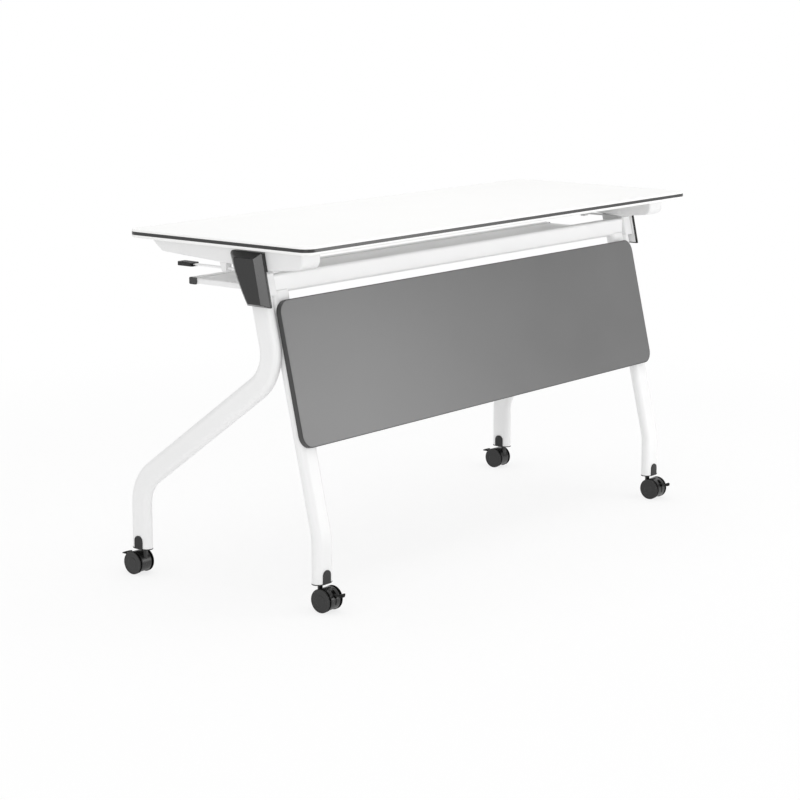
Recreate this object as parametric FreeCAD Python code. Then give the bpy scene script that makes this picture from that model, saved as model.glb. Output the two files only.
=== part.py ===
import FreeCAD, Part
import math
import os

# Flip-top training table on castors, as separate solids in millimetres.
# X runs along the width, -Y is the front (panel side), +Y the user's side, +Z up.
# The origin lies on the floor, midway between the four castor stems.

# Tabletop
TOP_WIDTH = 1400.0
TOP_DEPTH = 500.0
TOP_CENTRE_Y = -29.0
TOP_HEIGHT = 755.0
TOP_THICKNESS = 18.0
TOP_CORNER_RADIUS = 25.0
TOP_EDGE_ROUND = 4.0
TOP_LOWER_CHAMFER = 3.0
BAND_DROP = 5.0
BAND_HEIGHT = 7.0
BAND_THICKNESS = 2.0

# Flat oval leg tubes
TUBE_LONG = 50.0
TUBE_SHORT = 25.0
TUBE_WALL = 1.5
LEAN_DEGREES = 13.0
LEG_END_INSET = 46.5
REAR_LEG_SLOPE_DEGREES = 36.0
REAR_KNEE_DROP = 253.5
REAR_BEND_RADIUS = 90.0
LEG_SIDE_GAP = 0.2
FRONT_HEAD_Y = -125.6246
FRONT_BEND_RISE = 94.5
FRONT_BEND_RADIUS = 120.0
LEG_END_Z = 58.5

# Hinge bracket on top of each rear leg
BRACKET_DROP = 47.0
BRACKET_SIDE_WALL = 2.5
BRACKET_FRONT_WALL = 7.5
BRACKET_REAR_WALL = 5.0
BRACKET_EDGE_ROUND = 5.0
SOCKET_CLEARANCE = 0.1
SOCKET_ROOF = 18.0
LUG_THICKNESS = 18.0
LUG_STEP = 1.0
LUG_RADIUS = 12.0

# Flip axis
PIVOT_Y = -145.0
PIVOT_DROP = 37.0
PIN_RADIUS = 5.0
PIN_RUNNING_FIT = 0.05
PIN_SKIN = 1.5

# Support arms under the top
ARM_INNER_SIDE = 33.0
ARM_WIDTH = 57.5
ARM_FRONT_Y = -233.0
ARM_REAR_Y = 181.0
ARM_WALL = 3.0
ARM_FRONT_DEPTH = 36.0
ARM_HINGE_DEPTH = 45.0
ARM_MIDDLE_Y = -39.0
ARM_MIDDLE_DEPTH = 38.3
ARM_TAIL_LENGTH = 25.0
ARM_TAIL_DEPTH = 27.5
ARM_TIP_DEPTH = 8.0
ARM_FRONT_ROUND = 18.0
ARM_BELLY_ROUND = 60.0
ARM_TAIL_ROUND = 16.0
ARM_TIP_ROUND = 4.0
ARM_EDGE_ROUND = 4.0
ARM_SLOT_SIDE_GAP = 1.5
ARM_SLOT_FRONT = 30.0
ARM_SLOT_REAR = 60.0
PIN_BOSS_RADIUS = 7.4
STOP_PAD_GAP = 0.3
STOP_PAD_LENGTH = 24.0
STOP_PAD_WIDTH = 14.0

# Screws that hold the arms to the board
ARM_SCREW_YS = (-201.0, -9.0, 121.0)
ARM_SCREW_X_INSET = 15.0
ARM_SCREW_RADIUS = 2.5
ARM_SCREW_HEAD_RADIUS = 4.5
ARM_SCREW_HEAD_HEIGHT = 3.0
ARM_SCREW_BITE = 11.0
ARM_BOSS_RADIUS = 7.0
ARM_BOSS_FLOOR = 4.0
SCREW_FIT = 0.1

# Pull latch under each arm
ROD_RADIUS = 2.6
ROD_DROP = 50.0
ROD_FIT = 0.08
ROD_NOSE_GAP = 0.5
ROD_END_Y = 94.0
GUIDE_REAR_Y = -3.0
GUIDE_LENGTH = 18.0
GUIDE_WIDTH = 16.0
GUIDE_FLOOR = 4.0
GUIDE_ROUND = 2.0
GRIP_FRONT_Y = 73.0
GRIP_LENGTH = 43.0
GRIP_WIDTH = 24.0
GRIP_THICKNESS = 8.4
GRIP_LIP_LENGTH = 5.0
GRIP_LIP_THICKNESS = 2.5
GRIP_TOE_THICKNESS = 1.6
GRIP_END_ROUND = 5.0
GRIP_EDGE_ROUND = 1.0

# Black cover outside each hinge
COVER_GAP = 0.3
COVER_DROP = 7.0
COVER_HEIGHT = 110.0
COVER_TOP_FRONT_Y = -135.0
COVER_BOTTOM_FRONT_Y = -158.5
COVER_TOP_REAR_Y = -47.5
COVER_MIDDLE_REAR_Y = -66.0
COVER_BOTTOM_REAR_Y = -95.0
COVER_RIM = 5.0
COVER_DEPTH = 18.0
COVER_TOP_BEVEL = 12.0
COVER_FRONT_BEVEL = 15.0
COVER_LOWER_BEVEL = 6.0
COVER_REAR_BEVEL = 16.0
COVER_WALL = 2.5
COVER_EDGE_ROUND = 1.5
COVER_CORNER_ROUND = 7.0
COVER_PEG_RADIUS = 4.0
COVER_PEG_FIT = 0.1
SKIRT_ARM_GAP = 1.0
SKIRT_BRACKET_GAP = 1.5
CHEEK_THICKNESS = 2.0
CHEEK_INSET = 3.0

# Crossbeam between the brackets
BEAM_FRONT_Y = -134.0
BEAM_DEPTH = 25.0
BEAM_HEIGHT = 40.0
BEAM_DROP = 54.0
BEAM_ROUND = 6.0
BEAM_WALL = 1.5

# Modesty panel on the front legs
PANEL_END_INSET = 54.5
PANEL_GAP = 11.0
PANEL_HEIGHT = 304.0
PANEL_THICKNESS = 12.0
PANEL_CORNER_RADIUS = 28.0
PANEL_EDGE_ROUND = 1.0
PANEL_SCREW_INSETS = (45.0, 150.0)
PANEL_SCREW_RADIUS = 2.5
PANEL_SCREW_HEAD_RADIUS = 5.0
PANEL_SCREW_HEAD_HEIGHT = 2.5
PANEL_SCREW_BITE = 8.0

# Book shelf behind the beam
TRAY_RAIL_WIDTH = 10.0
TRAY_RAIL_HEIGHT = 12.0
TRAY_RISE = 1.0
TRAY_RAIL_GAP_X = 3.0
TRAY_TUBE_FRONT_Y = 82.0
TRAY_TUBE_DEPTH = 19.5
TRAY_TUBE_HEIGHT = 15.0
TRAY_TUBE_ROUND = 3.0
TRAY_TUBE_WALL = 1.2
TRAY_SHEET = 1.2
TRAY_FLANGE = 9.0
TRAY_CAP_LIP = 4.0
TRAY_CAP_PLUG = 12.0

# Plugs in the leg ends
PLUG_PLATE = 2.0
PLUG_RIM = 0.5
PLUG_INSERT = 30.0
PLUG_FIT = 0.15
TAB_WIDTH = 23.0
TAB_HEIGHT = 27.0
TAB_THICKNESS = 2.0
TAB_ROUND = 11.0

# Castors
WHEEL_RADIUS = 25.0
WHEEL_WIDTH = 6.0
WHEEL_GAP = 1.0
WHEEL_OUTER_ROUND = 2.5
WHEEL_INNER_ROUND = 1.5
WHEEL_DISH = 0.8
WHEEL_RIM = 4.5
HOOD_WIDTH = 28.7
HOOD_RADIUS = 24.7
HOOD_EDGE_ROUND = 1.5
HOOD_BOTTOM_Z = 4.0
HOOD_WALL = 3.0
HOOD_CAVITY_TOP_Z = 17.0
HOOD_CAVITY_REACH = 17.0
CASTOR_TRAIL = 18.0
STEM_RADIUS = 4.0
STEM_FIT = 0.05
STEM_LENGTH = 26.0
STEM_INSET = 5.0
NECK_RADIUS = 5.3
NECK_GAP = 0.4
AXLE_RADIUS = 3.0
AXLE_RUNNING_FIT = 0.05
AXLE_PRESS_GAP = 0.02
AXLE_DEPTH_IN_WHEEL = 3.5
PEDAL_PIVOT_BACK = 17.0
PEDAL_PIVOT_RISE = 11.0
PEDAL_PIVOT_RADIUS = 1.5
PEDAL_PIVOT_INSET = 1.5
PEDAL_BARREL_RADIUS = 3.0
PEDAL_REACH = 44.0
PEDAL_TIP_RISE = 14.0
PEDAL_THICKNESS = 3.0
PEDAL_NECK_WIDTH = 9.0
PEDAL_WIDTH = 28.0
PEDAL_WING_CHORD = 13.5
PEDAL_WING_SWEEP = 4.0
PEDAL_TIP_CHORD = 3.0
PEDAL_TIP_LIFT = 1.5
PEDAL_TIP_THICKNESS = 1.2
PEDAL_WING_THICKNESS = 3.0
PEDAL_SIDE_GAP = 0.4
PEDAL_FLOOR_GAP = 1.5
HOOD_SLIT_WIDTH = 3.0
HOOD_SLIT_DEPTH = 4.0

# Derived places
LEAN = math.radians(LEAN_DEGREES)
UP_LEG = FreeCAD.Vector(0, math.sin(LEAN), math.cos(LEAN))
OUT_FRONT = FreeCAD.Vector(0, -math.cos(LEAN), math.sin(LEAN))
UNDERSIDE_Z = TOP_HEIGHT - TOP_THICKNESS
REAR_KNEE_Z = UNDERSIDE_Z - REAR_KNEE_DROP
FRONT_BEND_Z = LEG_END_Z + FRONT_BEND_RISE
BRACKET_TOP_Z = UNDERSIDE_Z - BRACKET_DROP
SOCKET_TOP_Z = BRACKET_TOP_Z - SOCKET_ROOF
PIVOT_Z = UNDERSIDE_Z - PIVOT_DROP
ROD_Z = UNDERSIDE_Z - ROD_DROP
COVER_TOP_Z = UNDERSIDE_Z - COVER_DROP
COVER_BOTTOM_Z = COVER_TOP_Z - COVER_HEIGHT
BEAM_BOTTOM_Z = UNDERSIDE_Z - BEAM_DROP - BEAM_HEIGHT
PANEL_TOP_Z = BEAM_BOTTOM_Z - PANEL_GAP
TRAY_RAIL_BOTTOM_Z = BEAM_BOTTOM_Z + TRAY_RISE
LEG_HALF_SPREAD = (BEAM_BOTTOM_Z - FRONT_BEND_Z) * math.tan(LEAN) - FRONT_HEAD_Y
REAR_LEG_Y = LEG_HALF_SPREAD
FRONT_LEG_Y = -LEG_HALF_SPREAD
REAR_LEG_X = TOP_WIDTH / 2 - LEG_END_INSET
PANEL_WIDTH = TOP_WIDTH - 2 * PANEL_END_INSET
FRONT_LEG_X = REAR_LEG_X - (TUBE_SHORT + TUBE_LONG) / 2 - LEG_SIDE_GAP
BRACKET_BOTTOM_Z = BEAM_BOTTOM_Z
BRACKET_INNER_X = REAR_LEG_X - TUBE_SHORT / 2 - BRACKET_SIDE_WALL
BRACKET_OUTER_X = REAR_LEG_X + TUBE_SHORT / 2 + BRACKET_SIDE_WALL
LUG_INNER_X = BRACKET_INNER_X + LUG_STEP
LUG_OUTER_X = LUG_INNER_X + LUG_THICKNESS
ARM_INNER_X = LUG_INNER_X - ARM_INNER_SIDE
ARM_OUTER_X = ARM_INNER_X + ARM_WIDTH
PIN_BORE_END_X = ARM_OUTER_X - PIN_SKIN
ROD_X = (LUG_INNER_X + LUG_OUTER_X) / 2
PLATE_BOTTOM_Z = LEG_END_Z - PLUG_PLATE
CASTORS = {
    "front_left": (-FRONT_LEG_X, FRONT_LEG_Y, 0.0),
    "front_right": (FRONT_LEG_X, FRONT_LEG_Y, 0.0),
    "rear_left": (-REAR_LEG_X, REAR_LEG_Y, 180.0),
    "rear_right": (REAR_LEG_X, REAR_LEG_Y, 180.0),
}


def vec(x, y, z):
    return FreeCAD.Vector(x, y, z)


def block(x0, x1, y0, y1, z0, z1):
    """Box between two corners."""
    return Part.makeBox(x1 - x0, y1 - y0, z1 - z0, vec(x0, y0, z0))


def rod_x(radius, x0, x1, y, z):
    """Cylinder along X."""
    return Part.makeCylinder(radius, x1 - x0, vec(x0, y, z), vec(1, 0, 0))


def rod_y(radius, y0, y1, x, z):
    """Cylinder along Y."""
    return Part.makeCylinder(radius, y1 - y0, vec(x, y0, z), vec(0, 1, 0))


def rod_z(radius, z0, z1, x, y):
    """Cylinder along Z."""
    return Part.makeCylinder(radius, z1 - z0, vec(x, y, z0))


def mirrored(shape):
    """The same piece for the left end."""
    return shape.mirror(vec(0, 0, 0), vec(1, 0, 0))


def corner_arc(before, corner, after, radius):
    """Tangent arc in a corner of a path, as its start, middle and end points."""
    back = (before - corner).normalize()
    ahead = (after - corner).normalize()
    half = back.getAngle(ahead) / 2
    reach = radius / math.tan(half)
    middle_way = (back + ahead).normalize()
    centre = corner + middle_way * (radius / math.sin(half))
    return corner + back * reach, centre - middle_way * radius, corner + ahead * reach


def rounded_path(points, radii):
    """Open wire of straight runs, with a tangent arc at each inner point."""
    edges = []
    start = points[0]
    for before, corner, after, radius in zip(points, points[1:], points[2:], radii):
        first, middle, last = corner_arc(before, corner, after, radius)
        edges.append(Part.makeLine(start, first))
        edges.append(Part.Arc(first, middle, last).toShape())
        start = last
    edges.append(Part.makeLine(start, points[-1]))
    return Part.Wire(edges)


def rounded_polygon(points, radii):
    """Closed wire with a tangent arc at each corner whose radius is not zero."""
    count = len(points)
    arcs = []
    for i, radius in enumerate(radii):
        corner = points[i]
        if radius > 0:
            arcs.append(corner_arc(points[i - 1], corner, points[(i + 1) % count], radius))
        else:
            arcs.append((corner, None, corner))
    edges = []
    for i, (first, middle, last) in enumerate(arcs):
        if middle is not None:
            edges.append(Part.Arc(first, middle, last).toShape())
        following = arcs[(i + 1) % count][0]
        if last.distanceToPoint(following) > 1e-6:
            edges.append(Part.makeLine(last, following))
    return Part.Wire(edges)


def profile_yz(pairs, radii, x0, x1):
    """Rounded outline in the YZ plane, extruded from x0 to x1."""
    wire = rounded_polygon([vec(x0, y, z) for y, z in pairs], radii)
    return Part.Face(wire).extrude(vec(x1 - x0, 0, 0))


def rounded_plate(width, depth, radius, z0, z1):
    """Plate with rounded corners, centred on the Z axis."""
    x, y = width / 2, depth / 2
    corners = [vec(-x, -y, z0), vec(x, -y, z0), vec(x, y, z0), vec(-x, y, z0)]
    return Part.Face(rounded_polygon(corners, [radius] * 4)).extrude(vec(0, 0, z1 - z0))


def oval_wire(x, y, z, size_x, size_y):
    """Flat oval outline in a level plane: two straight sides and two half circles."""
    radius = min(size_x, size_y) / 2
    a, b = size_x / 2, size_y / 2
    if size_y > size_x:
        ends = [vec(x - a, y + radius - b, z), vec(x, y - b, z), vec(x + a, y + radius - b, z)]
    else:
        ends = [vec(x + radius - a, y + b, z), vec(x - a, y, z), vec(x + radius - a, y - b, z)]
    centre = vec(x, y, z)
    others = [centre * 2 - p for p in ends]
    edges = [Part.Arc(*ends).toShape(), Part.makeLine(ends[2], others[0])]
    edges += [Part.Arc(*others).toShape(), Part.makeLine(others[2], ends[0])]
    return Part.Wire(edges)


def oval_tube(path, x, y, z, size_x, size_y):
    """Bent tube of flat oval section, hollow, that starts upwards from a level end."""
    outer = path.makePipeShell([oval_wire(x, y, z, size_x, size_y)], True, False)
    wall = 2 * TUBE_WALL
    inner = path.makePipeShell([oval_wire(x, y, z, size_x - wall, size_y - wall)], True, False)
    return outer.cut(inner)


def rear_leg_points():
    """Corners of the rear leg's centre line, from the castor up into the bracket."""
    slope = math.tan(math.radians(REAR_LEG_SLOPE_DEGREES))
    knee_y = rear_axis_y(REAR_KNEE_Z)
    bend_z = REAR_KNEE_Z - (REAR_LEG_Y - knee_y) * slope
    corners = [(REAR_LEG_Y, LEG_END_Z), (REAR_LEG_Y, bend_z), (knee_y, REAR_KNEE_Z)]
    corners.append((rear_axis_y(SOCKET_TOP_Z), SOCKET_TOP_Z))
    return [vec(REAR_LEG_X, y, z) for y, z in corners]


def front_axis_y(z):
    """Place of the front leg's leaning centre line at a height."""
    return FRONT_LEG_Y + (z - FRONT_BEND_Z) * math.tan(LEAN)


def rear_axis_y(z):
    """Place of the rear leg's leaning centre line: its front is flush with the front leg's."""
    return front_axis_y(z) + (TUBE_LONG - TUBE_SHORT) / 2 / math.cos(LEAN)


def rear_leg():
    points = rear_leg_points()
    path = rounded_path(points, [REAR_BEND_RADIUS, REAR_BEND_RADIUS])
    return oval_tube(path, REAR_LEG_X, REAR_LEG_Y, LEG_END_Z, TUBE_SHORT, TUBE_LONG)


def panel_screw_points():
    """Places on the front leg's axis where the panel is screwed on."""
    top = panel_point(0, 0)
    for inset in PANEL_SCREW_INSETS:
        on_panel = top - UP_LEG * inset
        yield vec(FRONT_LEG_X, on_panel.y, on_panel.z) - OUT_FRONT * (PANEL_THICKNESS + TUBE_SHORT / 2)


def front_leg():
    """Bent tube of flat oval section, its head coped to the underside of the beam."""
    head_z = BEAM_BOTTOM_Z + TUBE_LONG
    corners = [(FRONT_LEG_Y, LEG_END_Z), (FRONT_LEG_Y, FRONT_BEND_Z), (front_axis_y(head_z), head_z)]
    path = rounded_path([vec(FRONT_LEG_X, y, z) for y, z in corners], [FRONT_BEND_RADIUS])
    tube = oval_tube(path, FRONT_LEG_X, FRONT_LEG_Y, LEG_END_Z, TUBE_LONG, TUBE_SHORT)
    front, rear, side = -TOP_DEPTH / 2, TOP_DEPTH / 2, TOP_WIDTH / 2
    above = block(0, side, front, rear, BEAM_BOTTOM_Z + BEAM_ROUND, TOP_HEIGHT)
    beside = block(BRACKET_INNER_X, side, front, rear, BEAM_BOTTOM_Z, TOP_HEIGHT)
    tube = tube.cut([above, beside, beam_form()])
    for centre in panel_screw_points():
        start = centre - OUT_FRONT * TUBE_SHORT
        radius = PANEL_SCREW_RADIUS + SCREW_FIT
        tube = tube.cut(Part.makeCylinder(radius, 2 * TUBE_SHORT, start, OUT_FRONT))
    return tube


def tangent_point(centre, radius, y, z, side):
    """Point where the tangent from (y, z) touches a circle, on the chosen side."""
    dy, dz = y - centre[0], z - centre[1]
    angle = math.atan2(dz, dy) + side * math.acos(radius / math.hypot(dy, dz))
    return centre[0] + radius * math.cos(angle), centre[1] + radius * math.sin(angle)


def bracket_front_y(z):
    return rear_axis_y(z) - (TUBE_LONG / 2 + BRACKET_FRONT_WALL) / math.cos(LEAN)


def bracket_rear_y(z):
    return rear_axis_y(z) + (TUBE_LONG / 2 + BRACKET_REAR_WALL) / math.cos(LEAN)


def hinge_lug():
    """Ear that rises from the bracket into the arm and carries the flip pin."""
    pivot = (PIVOT_Y, PIVOT_Z)
    root_z = BRACKET_TOP_Z - BRACKET_EDGE_ROUND
    front_root = (bracket_front_y(root_z) + LUG_STEP, root_z)
    rear_root = (rear_axis_y(BRACKET_TOP_Z), BRACKET_TOP_Z)
    front = tangent_point(pivot, LUG_RADIUS, *front_root, -1)
    rear = tangent_point(pivot, LUG_RADIUS, *rear_root, 1)
    web = [front_root, front, pivot, rear, rear_root, (rear_root[0], root_z)]
    plate = profile_yz(web, [0] * len(web), LUG_INNER_X, LUG_OUTER_X)
    return plate.fuse(rod_x(LUG_RADIUS, LUG_INNER_X, LUG_OUTER_X, PIVOT_Y, PIVOT_Z))


def cover_peg_points():
    """Two places on the bracket's outer face where the cover snaps in."""
    middle_z = (BRACKET_BOTTOM_Z + BRACKET_TOP_Z) / 2
    quarter = (BRACKET_TOP_Z - BRACKET_BOTTOM_Z) / 4
    for z in (middle_z - quarter, middle_z + quarter):
        yield (bracket_front_y(z) + bracket_rear_y(z)) / 2, z


def bracket_cheek():
    """Thin plate on the bracket's outer side that closes the cover from behind."""
    outline = cover_outline(BRACKET_OUTER_X - CHEEK_THICKNESS, *[CHEEK_INSET] * 4)
    return Part.Face(outline).extrude(vec(CHEEK_THICKNESS, 0, 0))


def hinge_bracket():
    """Cast head: a socket for the rear leg below, the hinge lug above, the cover's cheek outside."""
    outline = [
        (bracket_front_y(BRACKET_BOTTOM_Z), BRACKET_BOTTOM_Z),
        (bracket_rear_y(BRACKET_BOTTOM_Z), BRACKET_BOTTOM_Z),
        (bracket_rear_y(BRACKET_TOP_Z), BRACKET_TOP_Z),
        (bracket_front_y(BRACKET_TOP_Z), BRACKET_TOP_Z),
    ]
    body = profile_yz(outline, [0] * 4, BRACKET_INNER_X, BRACKET_OUTER_X)
    leaning = [e for e in body.Edges if abs(abs(e.tangentAt(e.FirstParameter).dot(UP_LEG)) - 1) < 1e-6]
    body = body.makeFillet(BRACKET_EDGE_ROUND, leaning)
    grow = 2 * SOCKET_CLEARANCE
    base_z = BRACKET_BOTTOM_Z - TUBE_LONG
    section = oval_wire(0, 0, 0, TUBE_SHORT + grow, TUBE_LONG + grow)
    section.rotate(vec(0, 0, 0), vec(1, 0, 0), -LEAN_DEGREES)
    section.translate(vec(REAR_LEG_X, rear_axis_y(base_z), base_z))
    length = (SOCKET_TOP_Z - base_z) / math.cos(LEAN) + SOCKET_CLEARANCE
    socket = Part.Face(section).extrude(UP_LEG * length)
    body = body.cut(socket).fuse([hinge_lug(), bracket_cheek()])
    bore = PIN_RADIUS + PIN_RUNNING_FIT
    body = body.cut(rod_x(bore, LUG_INNER_X, LUG_OUTER_X, PIVOT_Y, PIVOT_Z))
    for y, z in cover_peg_points():
        hole = COVER_PEG_RADIUS + COVER_PEG_FIT
        body = body.cut(rod_x(hole, BRACKET_OUTER_X - BRACKET_SIDE_WALL, BRACKET_OUTER_X, y, z))
    return body.removeSplitter()


def arm_corners(inset=0.0, above=0.0):
    """Side outline of the arm, from the front upper corner round its belly to the rear tip."""
    top = UNDERSIDE_Z + above
    front = ARM_FRONT_Y + inset
    rear = ARM_REAR_Y - inset
    base = UNDERSIDE_Z + inset
    return [
        (front, top),
        (front, base - ARM_FRONT_DEPTH),
        (PIVOT_Y, base - ARM_HINGE_DEPTH),
        (ARM_MIDDLE_Y, base - ARM_MIDDLE_DEPTH),
        (rear - ARM_TAIL_LENGTH, base - ARM_TAIL_DEPTH),
        (rear, base - ARM_TIP_DEPTH),
        (rear, top),
    ]


def arm_radii(inset=0.0):
    rounds = (ARM_FRONT_ROUND, ARM_BELLY_ROUND, ARM_BELLY_ROUND, ARM_TAIL_ROUND, ARM_TIP_ROUND)
    return [0] + [max(r - inset, 1.0) for r in rounds] + [0]


def arm_bottom_z(y):
    """Height of the arm's lower face behind its middle, before the corners are rounded."""
    tail_y = ARM_REAR_Y - ARM_TAIL_LENGTH
    share = (y - ARM_MIDDLE_Y) / (tail_y - ARM_MIDDLE_Y)
    return UNDERSIDE_Z - ARM_MIDDLE_DEPTH + share * (ARM_MIDDLE_DEPTH - ARM_TAIL_DEPTH)


def support_arm():
    """Hollow boat-shaped arm, open towards the board, slotted below for the hinge lug."""
    body = profile_yz(arm_corners(), arm_radii(), ARM_INNER_X, ARM_OUTER_X)
    lower = []
    for edge in body.Edges:
        box = edge.BoundBox
        if box.XLength < 1e-6 and box.ZMin < UNDERSIDE_Z - 1e-3:
            lower.append(edge)
    body = body.makeFillet(ARM_EDGE_ROUND, lower)
    inner = profile_yz(
        arm_corners(ARM_WALL, ARM_WALL), arm_radii(ARM_WALL), ARM_INNER_X + ARM_WALL, ARM_OUTER_X - ARM_WALL
    )
    shell = body.cut(inner)
    screw_x = ARM_INNER_X + ARM_SCREW_X_INSET
    posts = []
    for y in ARM_SCREW_YS:
        posts.append(rod_z(ARM_BOSS_RADIUS, UNDERSIDE_Z - ARM_HINGE_DEPTH, UNDERSIDE_Z, screw_x, y))
    posts.append(rod_x(PIN_BOSS_RADIUS, ARM_INNER_X, LUG_INNER_X - ARM_SLOT_SIDE_GAP, PIVOT_Y, PIVOT_Z))
    posts.append(rod_x(PIN_BOSS_RADIUS, LUG_OUTER_X + ARM_SLOT_SIDE_GAP, ARM_OUTER_X, PIVOT_Y, PIVOT_Z))
    shell = shell.fuse([post.common(body) for post in posts])
    slot = block(
        LUG_INNER_X - ARM_SLOT_SIDE_GAP,
        LUG_OUTER_X + ARM_SLOT_SIDE_GAP,
        PIVOT_Y - ARM_SLOT_FRONT,
        PIVOT_Y + ARM_SLOT_REAR,
        UNDERSIDE_Z - ARM_HINGE_DEPTH - ARM_WALL,
        UNDERSIDE_Z,
    )
    shell = shell.cut(slot)
    shell = shell.cut(rod_x(PIN_RADIUS + SCREW_FIT, ARM_INNER_X, PIN_BORE_END_X, PIVOT_Y, PIVOT_Z))
    for y in ARM_SCREW_YS:
        shell = shell.cut(rod_z(ARM_SCREW_RADIUS + SCREW_FIT, 0, UNDERSIDE_Z, screw_x, y))
        head = ARM_SCREW_HEAD_RADIUS + SCREW_FIT
        shell = shell.cut(rod_z(head, 0, UNDERSIDE_Z - ARM_BOSS_FLOOR, screw_x, y))
    return shell.removeSplitter()


def hinge_pin():
    """Flip pin, pushed in from the inner side and blind towards the outer face."""
    return rod_x(PIN_RADIUS, ARM_INNER_X, PIN_BORE_END_X - SCREW_FIT, PIVOT_Y, PIVOT_Z)


def arm_screw(x, y):
    """Pan-head screw seated in the arm's boss and driven up into the board."""
    seat = UNDERSIDE_Z - ARM_BOSS_FLOOR
    head = rod_z(ARM_SCREW_HEAD_RADIUS, seat - ARM_SCREW_HEAD_HEIGHT, seat, x, y)
    lower = [e for e in head.Edges if e.BoundBox.ZMax < seat - 1e-6 and e.Closed]
    head = head.makeFillet(ARM_SCREW_HEAD_HEIGHT / 2, lower)
    return head.fuse(rod_z(ARM_SCREW_RADIUS, seat, UNDERSIDE_Z + ARM_SCREW_BITE, x, y))


def arm_screw_places():
    x = ARM_INNER_X + ARM_SCREW_X_INSET
    return [(side * x, y) for side in (-1, 1) for y in ARM_SCREW_YS]


def stop_pad():
    """Pad on the bracket that the arm's belly comes down on."""
    z0 = BRACKET_TOP_Z
    y1 = bracket_rear_y(z0) - BRACKET_EDGE_ROUND
    y0 = y1 - STOP_PAD_LENGTH
    share = (y0 - PIVOT_Y) / (ARM_MIDDLE_Y - PIVOT_Y)
    belly = UNDERSIDE_Z - ARM_HINGE_DEPTH + share * (ARM_HINGE_DEPTH - ARM_MIDDLE_DEPTH)
    return block(LUG_OUTER_X - STOP_PAD_WIDTH, LUG_OUTER_X, y0, y1, z0, belly - STOP_PAD_GAP)


def board_outline(z0, z1, inset=0.0):
    """Slice of the board's rounded rectangle between two heights."""
    width, depth = TOP_WIDTH - 2 * inset, TOP_DEPTH - 2 * inset
    plate = rounded_plate(width, depth, TOP_CORNER_RADIUS - inset, z0, z1)
    plate.translate(vec(0, TOP_CENTRE_Y, 0))
    return plate


def tabletop():
    """Board with rounded upper edge, chamfered lower edge and a groove for the edge band."""
    board = board_outline(UNDERSIDE_Z, TOP_HEIGHT)
    upper = [e for e in board.Edges if e.BoundBox.ZMin > TOP_HEIGHT - 1e-6]
    board = board.makeFillet(TOP_EDGE_ROUND, upper)
    lower = [e for e in board.Edges if e.BoundBox.ZMax < UNDERSIDE_Z + 1e-6]
    board = board.makeChamfer(TOP_LOWER_CHAMFER, lower)
    board = board.cut(edge_band())
    for x, y in arm_screw_places():
        hole = ARM_SCREW_RADIUS + SCREW_FIT
        board = board.cut(rod_z(hole, UNDERSIDE_Z, UNDERSIDE_Z + ARM_SCREW_BITE + SCREW_FIT, x, y))
    return board


def edge_band():
    """Dark strip let into the edge of the board all round."""
    z1 = TOP_HEIGHT - BAND_DROP
    z0 = z1 - BAND_HEIGHT
    return board_outline(z0, z1).cut(board_outline(z0, z1, BAND_THICKNESS))


def rod_guide():
    """Tapered block under the arm with a hole for the latch rod."""
    y1 = GUIDE_REAR_Y
    y0 = y1 - GUIDE_LENGTH
    floor = ROD_Z - ROD_RADIUS - GUIDE_FLOOR
    side = [(y0, floor), (y1 - GUIDE_LENGTH / 3, floor), (y1, arm_bottom_z(y1)), (y0, arm_bottom_z(y0))]
    rounds = [GUIDE_ROUND, GUIDE_ROUND, 0, 0]
    body = profile_yz(side, rounds, ROD_X - GUIDE_WIDTH / 2, ROD_X + GUIDE_WIDTH / 2)
    return body.cut(rod_y(ROD_RADIUS + ROD_FIT, y0, y1, ROD_X, ROD_Z))


def latch_rod():
    """Round rod with a domed nose that stands against the bracket."""
    nose = bracket_rear_y(ROD_Z) + ROD_NOSE_GAP
    rod = rod_y(ROD_RADIUS, nose, ROD_END_Y, ROD_X, ROD_Z)
    ends = [e for e in rod.Edges if e.Closed]
    return rod.makeChamfer(ROD_RADIUS / 3, ends)


def pull_grip():
    """Flat finger grip on the rod, with a lip above and a toe below where the rod goes in."""
    z0 = ROD_Z - GRIP_THICKNESS / 2
    z1 = z0 + GRIP_THICKNESS
    plate = rounded_plate(GRIP_WIDTH, GRIP_LENGTH, GRIP_END_ROUND, z0, z1)
    plate.translate(vec(ROD_X, GRIP_FRONT_Y + GRIP_LENGTH / 2, 0))
    level = [e for e in plate.Edges if e.BoundBox.ZLength < 1e-6]
    plate = plate.makeFillet(GRIP_EDGE_ROUND, level)
    half = GRIP_WIDTH / 2
    lip_end = GRIP_FRONT_Y + GRIP_LIP_LENGTH
    mouth_low, mouth_high = z0 + GRIP_TOE_THICKNESS, z1 - GRIP_LIP_THICKNESS
    plate = plate.cut(block(ROD_X - half, ROD_X + half, GRIP_FRONT_Y, lip_end, mouth_low, mouth_high))
    return plate.cut(rod_y(ROD_RADIUS + SCREW_FIT, 0, ROD_END_Y + SCREW_FIT, ROD_X, ROD_Z))


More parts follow.
